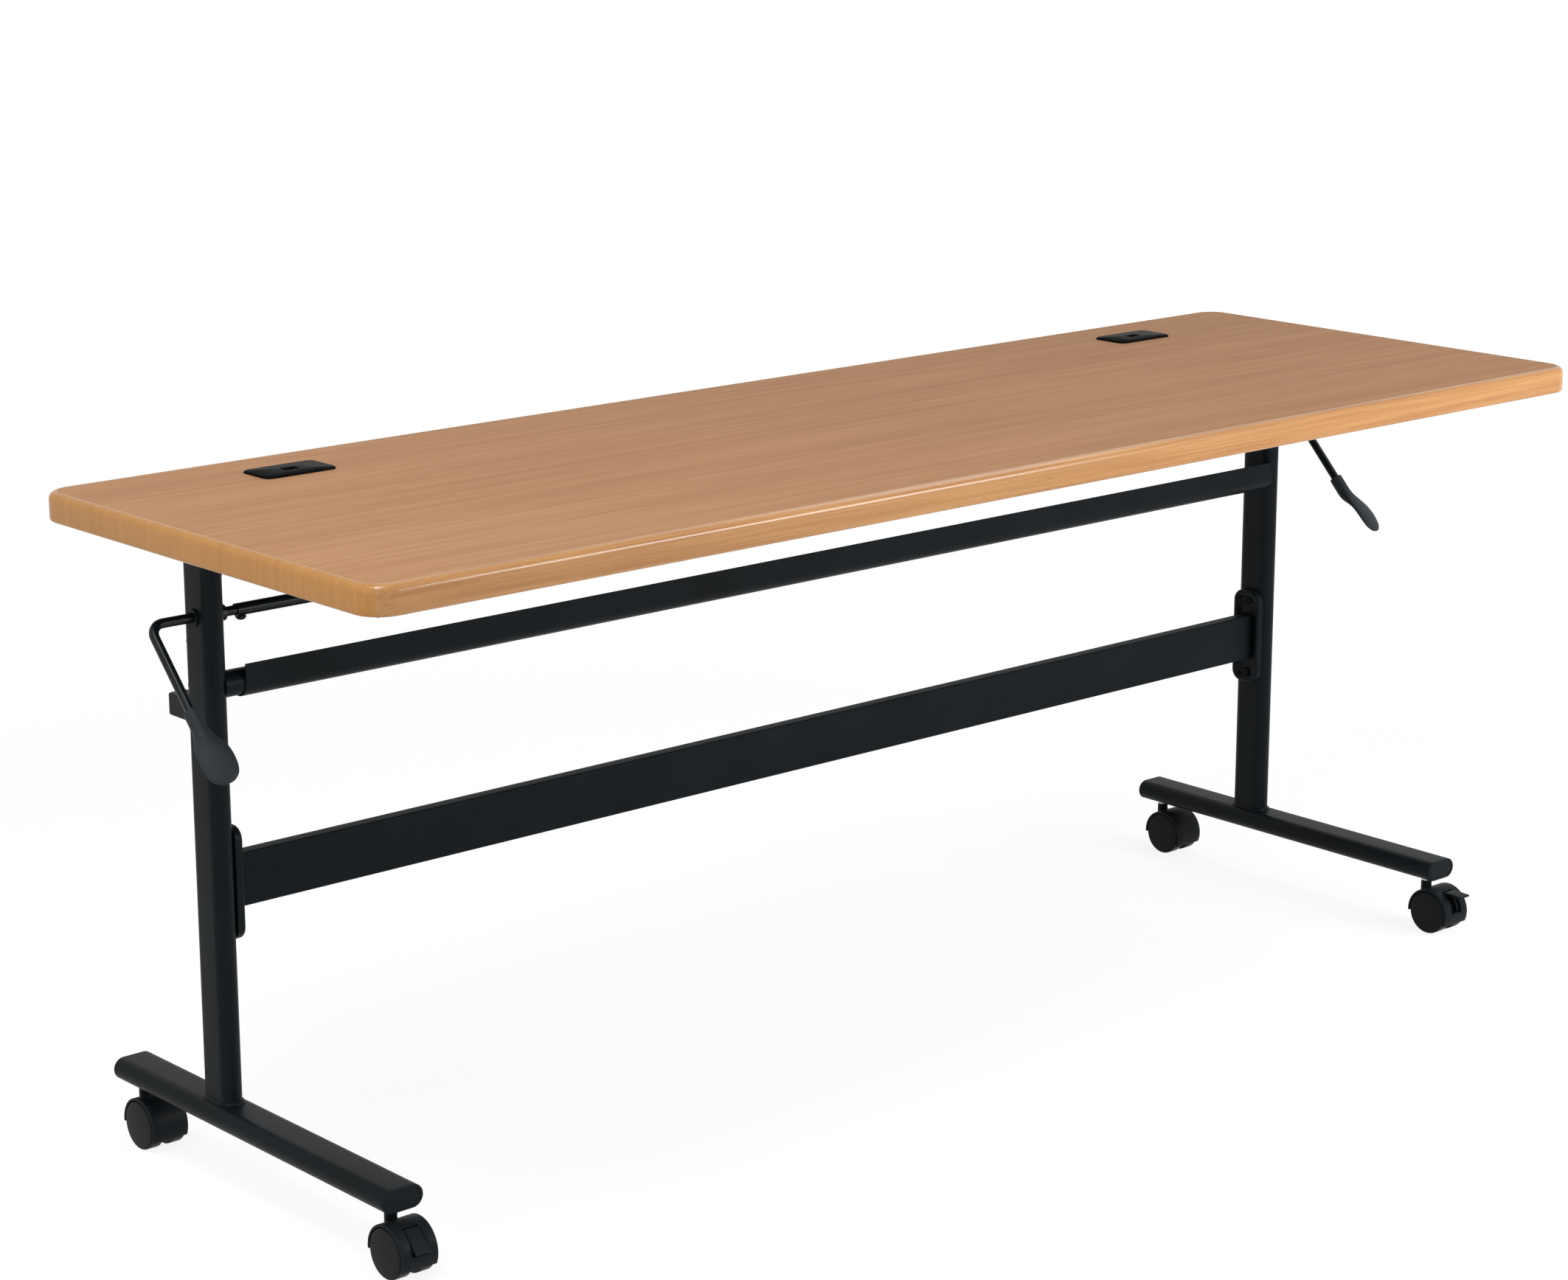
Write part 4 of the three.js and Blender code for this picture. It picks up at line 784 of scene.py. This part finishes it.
class TABLE_OT_cross_members(bpy.types.Operator):
    """Cross tube, wire trough, lower crossbar and its dished brackets"""
    bl_idname = "table.cross_members"
    bl_label = "Cross members"

    def execute(self, context):
        self.tube()
        self.trough()
        self.bar()
        for side in SIDES:
            self.bracket(side)
        return {"FINISHED"}

    def tube(self):
        s = sizes()
        low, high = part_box("cross_tube")
        centre, radius = (low + high) / 2, (high.z - low.z) / 2
        leg = middle("right_leg")
        half, straight = s.tube_slim / 2, (s.tube_wide - s.tube_slim) / 2

        def ring(end, r):
            points = []
            for y, z in circle(r, 48):
                past = max(0.0, abs(centre.y + y - leg.y) - straight)
                face = leg.x - math.sqrt(max(0.0, half * half - past * past)) - s.fit
                points.append((end * min(face, high.x), centre.y + y, centre.z + z))
            return points

        inner = radius - s.tube_wall
        rings = [ring(-1, radius), ring(1, radius), ring(1, inner), ring(-1, inner)]
        piece("round_cross_tube", skin(rings, True), "base", ["powder_coat"],
              ["cross_tube"])

    def trough(self):
        s = sizes()
        low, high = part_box("wire_trough")
        tube = middle("cross_tube")
        outside = tube.y - low.y
        inside = outside - s.sheet
        fold = (high.y - s.trough_fold, tube.z - outside + s.trough_fold)
        back_top = tube.z - outside + s.trough_back
        cradle = (tube.y, tube.z)
        outline = [(low.y, high.z)]
        outline += arc(cradle, outside, math.pi, 1.5 * math.pi, 14)
        outline += arc(fold, s.trough_fold, 1.5 * math.pi, 2 * math.pi, 8)
        outline += [(high.y, back_top), (high.y - s.sheet, back_top)]
        outline += arc(fold, s.trough_fold - s.sheet, 2 * math.pi, 1.5 * math.pi, 8)
        outline += arc(cradle, inside, 1.5 * math.pi, math.pi, 14)
        outline += [(low.y + s.sheet, high.z)]
        piece("folded_trough", prism_x(outline, low.x, high.x), "base",
              ["powder_coat"], ["wire_trough"], bevel=s.trough_edge)

    def bar(self):
        s = sizes()
        low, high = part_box("lower_crossbar")
        centre, extent = (low + high) / 2, high - low

        def ring(grow, x):
            edge = rounded_rectangle(extent.y + 2 * grow, extent.z + 2 * grow, s.bar_corner + grow, 6)
            return [(x, centre.y + y, centre.z + z) for y, z in edge]

        rings = [ring(0, low.x), ring(0, high.x), ring(-s.bar_wall, high.x), ring(-s.bar_wall, low.x)]
        piece("flat_crossbar", skin(rings, True), "base", ["sandy_coat"],
              ["lower_crossbar"])

    def bracket(self, side):
        s = sizes()
        node = side + "_crossbar_bracket"
        low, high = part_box("right_crossbar_bracket")
        centre, extent = (low + high) / 2, high - low

        def ring(inset, depth):
            edge = rounded_rectangle(extent.y - 2 * inset, extent.z - 2 * inset, s.dish_corner - inset, 10)
            return [(high.x - depth, centre.y + y, centre.z + z) for y, z in edge]

        top = extent.x
        rings = [ring(0, 0), ring(0, top - s.dish_round)]
        for i in range(1, 7):
            turn = math.pi / 2 * i / 6
            inset = s.dish_inset * (1 - math.cos(turn))
            rings.append(ring(inset, top - s.dish_round * (1 - math.sin(turn))))
        rings += [ring(inset * MM, top - drop * MM) for inset, drop in DISH_LIP]
        rings += [ring(inset * MM, s.dish_floor + rise * MM) for inset, rise in DISH_FOOT]
        screws = []
        for way in (-1, 1):
            seat = (high.x - s.dish_floor, centre.y, centre.z + way * s.screw_spacing / 2)
            screws.append(dome(seat, (-1, 0, 0), s.screw_head, s.screw_height))
        shape = on_side(side, together(skin(rings), *screws))
        piece(side + "_dished_bracket", shape, "base", ["powder_coat"], [node])


class TABLE_OT_link_block(bpy.types.Operator):
    """Block behind the left leg, saddled on its rounded back"""
    bl_idname = "table.link_block"
    bl_label = "Link block"

    def execute(self, context):
        s = sizes()
        low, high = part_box("link_block")
        leg = middle("right_leg")
        half, straight = s.tube_slim / 2 + s.fit, (s.tube_wide - s.tube_slim) / 2
        bevel, corner = s.block_bevel, s.block_corner
        rings = []
        for z, inset in ((low.z, bevel), (low.z + bevel, 0), (high.z - bevel, 0), (high.z, bevel)):
            reach = high.y - inset
            side = (high.x - low.x) / 2 - inset
            points = []
            for i in range(17):
                x = side - 2 * side * i / 16
                saddle = math.sqrt(max(0.0, half * half - x * x))
                points.append((-leg.x + x, leg.y + straight + saddle, z))
            outer = arc((-side + corner, reach - corner), corner, math.pi, math.pi / 2, 5)
            outer += arc((side - corner, reach - corner), corner, math.pi / 2, 0, 5)
            points += [(-leg.x + x, y, z) for x, y in outer]
            rings.append(points)
        piece("link_block_moulding", skin(rings), "base", ["plastic"],
              ["link_block"])
        return {"FINISHED"}


# Release shaft and levers

OUTWARD = Vector((1, 0, 0))

# Sections along a grip: share of its length; half width and half thickness as shares of the paddle's;
# the same as shares of the sleeve's radius; and how far the section stands off the rod's line
GRIP_STATIONS = (
    (0.0, 0, 0, 0.94, 0.94, 0.0),
    (0.012, 0, 0, 1, 1, 0.0),
    (0.13, 0, 0, 1, 1, 0.0),
    (0.24, 0, 0, 1.04, 1, 0.0),
    (0.34, 0.55, 0, 0, 0.95, 0.14),
    (0.44, 0.76, 1.3, 0, 0, 0.48),
    (0.55, 0.93, 1.06, 0, 0, 0.82),
    (0.68, 1, 1, 0, 0, 1.0),
    (0.81, 0.97, 0.96, 0, 0, 1.02),
    (0.91, 0.82, 0.85, 0, 0, 1.0),
    (0.97, 0.54, 0.62, 0, 0, 0.98),
    (0.99, 0.35, 0.42, 0, 0, 0.97),
    (1.0, 0.14, 0.18, 0, 0, 0.97),
)


def smooth_station(i, u):
    """Grip section on a smooth path through the stations, a share u of the way from one to the next."""
    last = len(GRIP_STATIONS) - 1
    around = [GRIP_STATIONS[min(max(k, 0), last)] for k in (i - 1, i, i + 1, i + 2)]
    section = []
    for before, here, after, beyond in zip(*around):
        slope_here, slope_after = (after - before) / 2, (beyond - here) / 2
        value = (2 * u ** 3 - 3 * u ** 2 + 1) * here + (u ** 3 - 2 * u ** 2 + u) * slope_here
        value += (3 * u ** 2 - 2 * u ** 3) * after + (u ** 3 - u ** 2) * slope_after
        section.append(value)
    return section


class TABLE_OT_release(bpy.types.Operator):
    """Release tube, set screws, pawls, return spring, bent lever rods and their paddle grips"""
    bl_idname = "table.release"
    bl_label = "Release shaft and levers"

    def execute(self, context):
        s = sizes()
        axle = joint_place("release_turn")
        low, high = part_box("release_tube")
        radius = (high.z - low.z) / 2

        def ring(r, x):
            return [(x, axle.y + y, axle.z + z) for y, z in circle(r, 40)]

        inner = s.rod + s.fit
        rings = [ring(radius, low.x), ring(radius, high.x), ring(inner, high.x), ring(inner, low.x)]
        piece("release_shaft", skin(rings, True), "release", ["gloss_coat"],
              ["release_tube"])
        finish_node("return_spring", "bright_steel")
        for side in SIDES:
            finish_node(side + "_pawl", "dark_steel")
            seat = (middle("right_set_screw").x, axle.y, axle.z - radius - s.fit)
            height = seat[2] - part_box("right_set_screw")[0].z
            shape = on_side(side, dome(seat, (0, 0, -1), s.screw_head, height))
            piece(side + "_shaft_screw", shape, "release", ["dark_steel"],
                  [side + "_set_screw"])
            self.rod(side, axle)
            self.grip(side, axle)
        return {"FINISHED"}

    def directions(self):
        s = sizes()
        down = Vector((0, -math.cos(s.lever_angle), -math.sin(s.lever_angle)))
        return down, down.cross(OUTWARD)

    def bend(self, axle):
        return Vector((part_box("right_lever_rod")[1].x - sizes().rod, axle.y, axle.z))

    def rod(self, side, axle):
        s = sizes()
        down, across = self.directions()
        bend = self.bend(axle)

        def ring(centre, tangent):
            sideways = across.cross(tangent)
            return [centre + across * a + sideways * b for a, b in circle(s.rod, 28)]

        rings = [ring(Vector((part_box("right_lever_rod")[0].x, axle.y, axle.z)), OUTWARD)]
        centre = bend - OUTWARD * s.rod_bend + down * s.rod_bend
        for i in range(15):
            turn = math.pi / 2 * i / 14
            tangent = OUTWARD * math.cos(turn) + down * math.sin(turn)
            spoke = OUTWARD * math.sin(turn) - down * math.cos(turn)
            rings.append(ring(centre + spoke * s.rod_bend, tangent))
        rings.append(ring(bend + down * (s.grip_start + s.rod_insert), down))
        shape = on_side(side, skin(rings))
        piece(side + "_bent_rod", shape, "release", ["gloss_coat"],
              [side + "_lever_rod"])

    def grip(self, side, axle):
        s = sizes()
        down, across = self.directions()
        normal = OUTWARD * math.cos(s.grip_twist) + across * math.sin(s.grip_twist)
        wide = down.cross(normal)
        bend = self.bend(axle)
        last = len(GRIP_STATIONS) - 1
        rows = [smooth_station(i, step / 4) for i in range(last) for step in range(4)]
        rows.append(GRIP_STATIONS[-1])
        rings = []
        for along, broad, thin, sleeve_broad, sleeve_thin, offset in rows:
            half_wide = broad * s.paddle_wide + sleeve_broad * s.grip_sleeve
            half_thin = thin * s.paddle_thick + sleeve_thin * s.grip_sleeve
            centre = bend + down * (s.grip_start + along * s.grip_length)
            centre += normal * (offset * s.paddle_offset)
            rings.append([centre + wide * (a * half_wide) + normal * (b * half_thin)
                          for a, b in circle(1, 36)])
        shape = on_side(side, skin(rings))
        piece(side + "_paddle_grip", shape, "release", ["grip"],
              [side + "_lever_grip"])


# Casters

# Brake pedal's outline: millimetres proud of the fender's outside and inside, and degrees round the axle
PEDAL_FACE = ((0, 117), (0.4, 130), (0.8, 145), (2, 158), (5, 168), (5.5, 171), (3.4, 172))
PEDAL_BACK = ((1.4, 162), (0, 150), (0, 133), (0, 117))

# Facets of a fender behind the pedal's slot, along it and below it
FENDER_STEPS = (24, 10, 7)


class TABLE_OT_casters(bpy.types.Operator):
    """Twin-wheel hooded casters, with brake pedals on the front pair"""
    bl_idname = "table.casters"
    bl_label = "Casters"

    def execute(self, context):
        for side in SIDES:
            for end in ENDS:
                self.caster(side, end)
        return {"FINISHED"}

    def caster(self, side, end):
        s = sizes()
        corner = side + "_" + end
        stem = middle(corner + "_caster_stem")
        axle = middle(corner + "_outer_wheel")
        centre = (axle.y, axle.z)
        outer = s.wheel + s.hood_clear + s.hood_wall
        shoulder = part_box(side + "_foot")[0].z - s.fit - s.collar_height
        braked = end == "front"
        self.stem(corner, stem, shoulder)
        self.fender(corner, stem, centre, outer, braked)
        self.core(corner, stem, centre, outer, shoulder - s.fit, braked)
        for which in ("outer", "inner"):
            self.wheel(corner, which, stem)
        if braked:
            self.pedal(side, stem, centre, outer)

    def stem(self, corner, stem, shoulder):
        s = sizes()
        node = corner + "_caster_stem"
        low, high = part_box(node)
        seat = shoulder + s.collar_height
        collar, pin, shank = s.stem_collar, s.stem_pin, s.stem_shank
        profile = [(0, low.z), (shank, low.z), (shank, shoulder), (collar - s.collar_foot, shoulder)]
        profile += [(collar, shoulder + s.collar_foot), (collar, seat - s.collar_head)]
        profile += [(collar - s.collar_head, seat), (pin, seat)]
        profile += [(pin, high.z - s.stem_chamfer), (pin - s.stem_chamfer, high.z), (0, high.z)]
        shape = turned(profile, (stem.x, stem.y, 0), (0, 0, 1), 32)
        piece(corner + "_stem", shape, "base", ["bright_steel"], [node])

    def fender(self, corner, stem, centre, outer, braked):
        """Curved wall over both wheels, with a slot in its front where a brake pedal goes."""
        s = sizes()
        across = [-s.hood_width / 2, -s.slot_half, s.slot_half, s.hood_width / 2]
        stops = [s.hood_back, s.slot_start, s.slot_end, s.hood_front]
        turns = []
        for start, end, steps in zip(stops, stops[1:], FENDER_STEPS):
            turns += [(start + (end - start) * i / steps, start == s.slot_start) for i in range(steps)]
        turns.append((s.hood_front, False))
        verts, faces = [], []
        for turn, _ in turns:
            y = centre[0] + outer * math.cos(turn)
            z = centre[1] + outer * math.sin(turn)
            verts += [Vector((stem.x + x, y, z)) for x in across]
        for i in range(len(turns) - 1):
            for j in range(3):
                if braked and j == 1 and turns[i][1]:
                    continue
                faces.append((i * 4 + j, i * 4 + j + 4, i * 4 + j + 5, i * 4 + j + 1))
        piece(corner + "_fender", (verts, faces), corner + "_caster", ["plastic"],
              [corner + "_caster_hood"], bevel=s.hood_edge, smooth=50, solid=s.hood_wall)

    def core(self, corner, stem, centre, outer, top, braked):
        """Web between the wheels, the sleeve round the stem, and the axle."""
        s = sizes()
        rim = outer - s.hood_wall / 2
        outline = arc(centre, rim, s.hood_back, s.slot_start if braked else s.hood_front, 24)
        if braked:
            outline += arc(centre, s.wheel - s.slot_sink, s.slot_start, s.slot_end, 10)
            outline += arc(centre, rim, s.slot_end, s.hood_front, 6)
        outline += arc(centre, s.hood_hub, s.hood_front, s.hood_back + 2 * math.pi, 12)
        web = prism_x(outline, stem.x - s.hood_web, stem.x + s.hood_web)
        radius, soft = s.hood_boss, s.boss_chamfer
        past = stem.y - centre[0] + radius
        sunk = centre[1] + math.sqrt((outer - s.boss_sink) ** 2 - past ** 2)
        bore, end = s.stem_shank + s.fit, top - s.boss_depth
        profile = [(0, end - s.boss_floor), (radius, sunk), (radius, top - soft), (radius - soft, top)]
        profile += [(bore, top), (bore, end), (0, end)]
        sleeve = turned(profile, (stem.x, stem.y, 0), (0, 0, 1), 36)
        axle = self.pin(stem.x, centre, s.axle, s.axle_reach)
        piece(corner + "_hood_core", together(web, sleeve, axle), corner + "_caster",
              ["plastic"])

    def pin(self, x, centre, radius, reach):
        outline = [(centre[0] + y, centre[1] + z) for y, z in circle(radius, 20)]
        return prism_x(outline, x - reach, x + reach)

    def wheel(self, corner, which, stem):
        s = sizes()
        node = corner + "_" + which + "_wheel"
        low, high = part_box(node)
        centre = (low + high) / 2
        out = 1 if centre.x > stem.x else -1
        face = low.x if out > 0 else high.x
        radius, width = s.wheel, high.x - low.x
        bore = s.axle + s.fit
        profile = [(0, s.wheel_bore), (bore, s.wheel_bore), (bore, 0), (radius - s.tread_round, 0)]
        for i in range(1, 5):
            turn = math.pi / 2 * i / 4
            inset = s.tread_round * (1 - math.sin(turn))
            profile.append((radius - inset, s.tread_round * (1 - math.cos(turn))))
        for i in range(7):
            turn = math.pi / 2 * i / 6
            drop = s.face_round * (1 - math.sin(turn)) + s.face_crown
            profile.append((radius - s.face_round * (1 - math.cos(turn)), width - drop))
        profile += [(0.6 * radius, width - 0.3 * s.face_crown), (0.25 * radius, width), (0, width)]
        shape = turned(profile, (face, centre.y, centre.z), (out, 0, 0), 56)
        piece(node.replace("wheel", "tread_wheel"), shape, node + "_body",
              ["wheel"], [node])

    def pedal(self, side, stem, centre, outer):
        """Brake pedal, drawn lying in its slot; the right one is then raised about its pin."""
        s = sizes()
        clear = outer - s.hood_wall + s.fit
        pairs = [(outer + proud * MM, turn) for proud, turn in PEDAL_FACE]
        pairs += [(clear + proud * MM, turn) for proud, turn in PEDAL_BACK]
        pin = joint_place(side + "_brake_press")[1:]
        raised = -s.pedal_raise if side == "right" else 0
        outline = []
        for radius, turn in pairs:
            y = centre[0] + radius * math.cos(math.radians(turn)) - pin[0]
            z = centre[1] + radius * math.sin(math.radians(turn)) - pin[1]
            outline.append((pin[0] + y * math.cos(raised) - z * math.sin(raised),
                            pin[1] + y * math.sin(raised) + z * math.cos(raised)))
        tongue = prism_x(outline, stem.x - s.pedal_half, stem.x + s.pedal_half)
        trunnion = self.pin(stem.x, pin, s.pedal_pin, s.slot_half + s.pedal_reach)
        piece(side + "_pedal", together(tongue, trunnion), side + "_brake",
              ["plastic"], [side + "_brake_pedal"], bevel=s.pedal_edge)


# Stage

# Half the floor's width in metres, and the width of the camera's sensor in millimetres
FLOOR_HALF = 30
SENSOR = 36

# Lamps: place, the point that the lamp faces, and its width and height, all in metres
LAMPS = {
    "key": ((-1.5, -0.45, 2.6), (-0.5, 0, 0.7), (1.0, 1.0)),
    "strip": ((1.7, -0.1, 2.7), (0, -0.3, 0.7), (2.2, 0.5)),
    "front": ((1.9, -1.9, 1.0), (0.6, 0, 0.7), (1.0, 1.0)),
    "edge": ((0.8, -1.9, 1.0), (-0.4, 0, 0.7), (1.1, 0.5)),
    "side": ((-2.5, -0.5, 1.0), (-0.9, 0, 0.7), (0.8, 0.8)),
}


class TABLE_OT_stage(bpy.types.Operator):
    """Pale floor, soft studio light and the camera"""
    bl_idname = "table.stage"
    bl_label = "Stage"

    def execute(self, context):
        setup = context.scene.table_stage
        context.scene.view_settings.view_transform = "Standard"
        self.floor(setup)
        self.world(context, setup)
        for name, (place, target, spread) in LAMPS.items():
            self.lamp(name, getattr(setup, name), place, target, spread)
        self.camera(context, setup)
        return {"FINISHED"}

    def seen(self, tree):
        """True for the rays that see the backdrop, straight, in a reflection or through glass."""
        path = tree.nodes.new("ShaderNodeLightPath")
        total = path.outputs["Is Camera Ray"]
        for extra in ("Is Glossy Ray", "Is Transmission Ray"):
            either = tree.nodes.new("ShaderNodeMath")
            either.operation = "MAXIMUM"
            tree.links.new(total, either.inputs[0])
            tree.links.new(path.outputs[extra], either.inputs[1])
            total = either.outputs[0]
        return total

    def floor(self, setup):
        mesh = bpy.data.meshes.new("floor")
        corners = [(x * FLOOR_HALF, y * FLOOR_HALF, 0) for x, y in ((-1, -1), (1, -1), (1, 1), (-1, 1))]
        mesh.from_pydata(corners, [], [(0, 1, 2, 3)])
        floor = bpy.data.objects.new("floor", mesh)
        bpy.context.collection.objects.link(floor)
        material = bpy.data.materials.new("floor")
        material.use_nodes = True
        tree = material.node_tree
        shader = tree.nodes["Principled BSDF"]
        shader.inputs["Base Color"].default_value = (*setup.floor, 1)
        shader.inputs["Roughness"].default_value = 0.9
        glow = tree.nodes.new("ShaderNodeEmission")
        glow.inputs["Strength"].default_value = setup.floor_white
        both = tree.nodes.new("ShaderNodeMixShader")
        share = tree.nodes.new("ShaderNodeMath")
        share.operation = "MULTIPLY"
        place = tree.nodes.new("ShaderNodeTexCoord")
        away = tree.nodes.new("ShaderNodeVectorMath")
        away.operation = "LENGTH"
        fade = tree.nodes.new("ShaderNodeMapRange")
        fade.inputs["From Min"].default_value = setup.fade_near
        fade.inputs["From Max"].default_value = setup.fade_far
        fade.inputs["To Min"].default_value = setup.floor_share
        tree.links.new(place.outputs["Object"], away.inputs[0])
        tree.links.new(away.outputs["Value"], fade.inputs["Value"])
        tree.links.new(fade.outputs["Result"], share.inputs[1])
        tree.links.new(self.seen(tree), share.inputs[0])
        tree.links.new(share.outputs[0], both.inputs["Fac"])
        tree.links.new(shader.outputs[0], both.inputs[1])
        tree.links.new(glow.outputs[0], both.inputs[2])
        tree.links.new(both.outputs[0], tree.nodes["Material Output"].inputs["Surface"])
        mesh.materials.append(material)

    def world(self, context, setup):
        world = bpy.data.worlds.new("studio")
        world.use_nodes = True
        tree = world.node_tree
        even = tree.nodes["Background"]
        even.inputs["Color"].default_value = (1, 1, 1, 1)
        even.inputs["Strength"].default_value = setup.world
        white = tree.nodes.new("ShaderNodeBackground")
        white.inputs["Color"].default_value = (1, 1, 1, 1)
        both = tree.nodes.new("ShaderNodeMixShader")
        tree.links.new(self.seen(tree), both.inputs["Fac"])
        tree.links.new(even.outputs[0], both.inputs[1])
        tree.links.new(white.outputs[0], both.inputs[2])
        tree.links.new(both.outputs[0], tree.nodes["World Output"].inputs["Surface"])
        context.scene.world = world

    def lamp(self, name, power, place, target, spread):
        light = bpy.data.lights.new(name, "AREA")
        light.energy = power
        light.shape = "RECTANGLE"
        light.size, light.size_y = spread
        lamp = bpy.data.objects.new(name, light)
        bpy.context.collection.objects.link(lamp)
        lamp.location = place
        lamp.rotation_euler = (Vector(target) - Vector(place)).to_track_quat("-Z", "Y").to_euler()
        lamp.visible_camera = False
        # The front lamp brightens the front edge without showing in its gloss
        lamp.visible_glossy = name != "front"

    def camera(self, context, setup):
        lens = bpy.data.cameras.new("camera")
        lens.sensor_width = SENSOR
        lens.sensor_fit = "HORIZONTAL"
        lens.lens = setup.lens
        lens.clip_end = 100
        camera = bpy.data.objects.new("camera", lens)
        bpy.context.collection.objects.link(camera)
        level = math.cos(setup.pitch)
        ahead = Vector((math.sin(setup.yaw) * level, math.cos(setup.yaw) * level, -math.sin(setup.pitch)))
        across = Vector((math.cos(setup.yaw), -math.sin(setup.yaw), 0))
        rise = across.cross(ahead)
        right = across * math.cos(setup.roll) + rise * math.sin(setup.roll)
        up = rise * math.cos(setup.roll) - across * math.sin(setup.roll)
        turn = Matrix((right, up, -ahead)).transposed().to_4x4()
        camera.matrix_world = Matrix.Translation(Vector(setup.eye)) @ turn
        context.scene.camera = camera


OPERATORS = (
    TABLE_OT_board,
    TABLE_OT_grommets,
    TABLE_OT_under_top,
    TABLE_OT_legs,
    TABLE_OT_cross_members,
    TABLE_OT_link_block,
    TABLE_OT_release,
    TABLE_OT_casters,
    TABLE_OT_stage,
)


class TABLE_PT_pieces(bpy.types.Panel):
    """Buttons that build the table's pieces, and the sizes, colours and lights they use"""
    bl_idname = "TABLE_PT_pieces"
    bl_label = "Training table"
    bl_space_type = "VIEW_3D"
    bl_region_type = "UI"
    bl_category = "Table"

    def draw(self, context):
        for operator in OPERATORS:
            self.layout.operator(operator.bl_idname)
        scene = context.scene
        for values in (scene.table_sizes, scene.table_colours, scene.table_stage):
            for name in values.__annotations__:
                self.layout.prop(values, name)


CLASSES = (TableSizes, TableColours, TableStage, *OPERATORS, TABLE_PT_pieces)


def register():
    for each in CLASSES:
        bpy.utils.register_class(each)
    bpy.types.Scene.table_sizes = PointerProperty(type=TableSizes)
    bpy.types.Scene.table_colours = PointerProperty(type=TableColours)
    bpy.types.Scene.table_stage = PointerProperty(type=TableStage)


def unregister():
    del bpy.types.Scene.table_stage
    del bpy.types.Scene.table_colours
    del bpy.types.Scene.table_sizes
    for each in reversed(CLASSES):
        bpy.utils.unregister_class(each)


def main():
    register()
    for operator in OPERATORS:
        group, name = operator.bl_idname.split(".")
        getattr(getattr(bpy.ops, group), name)()


if __name__ == "__main__":
    main()
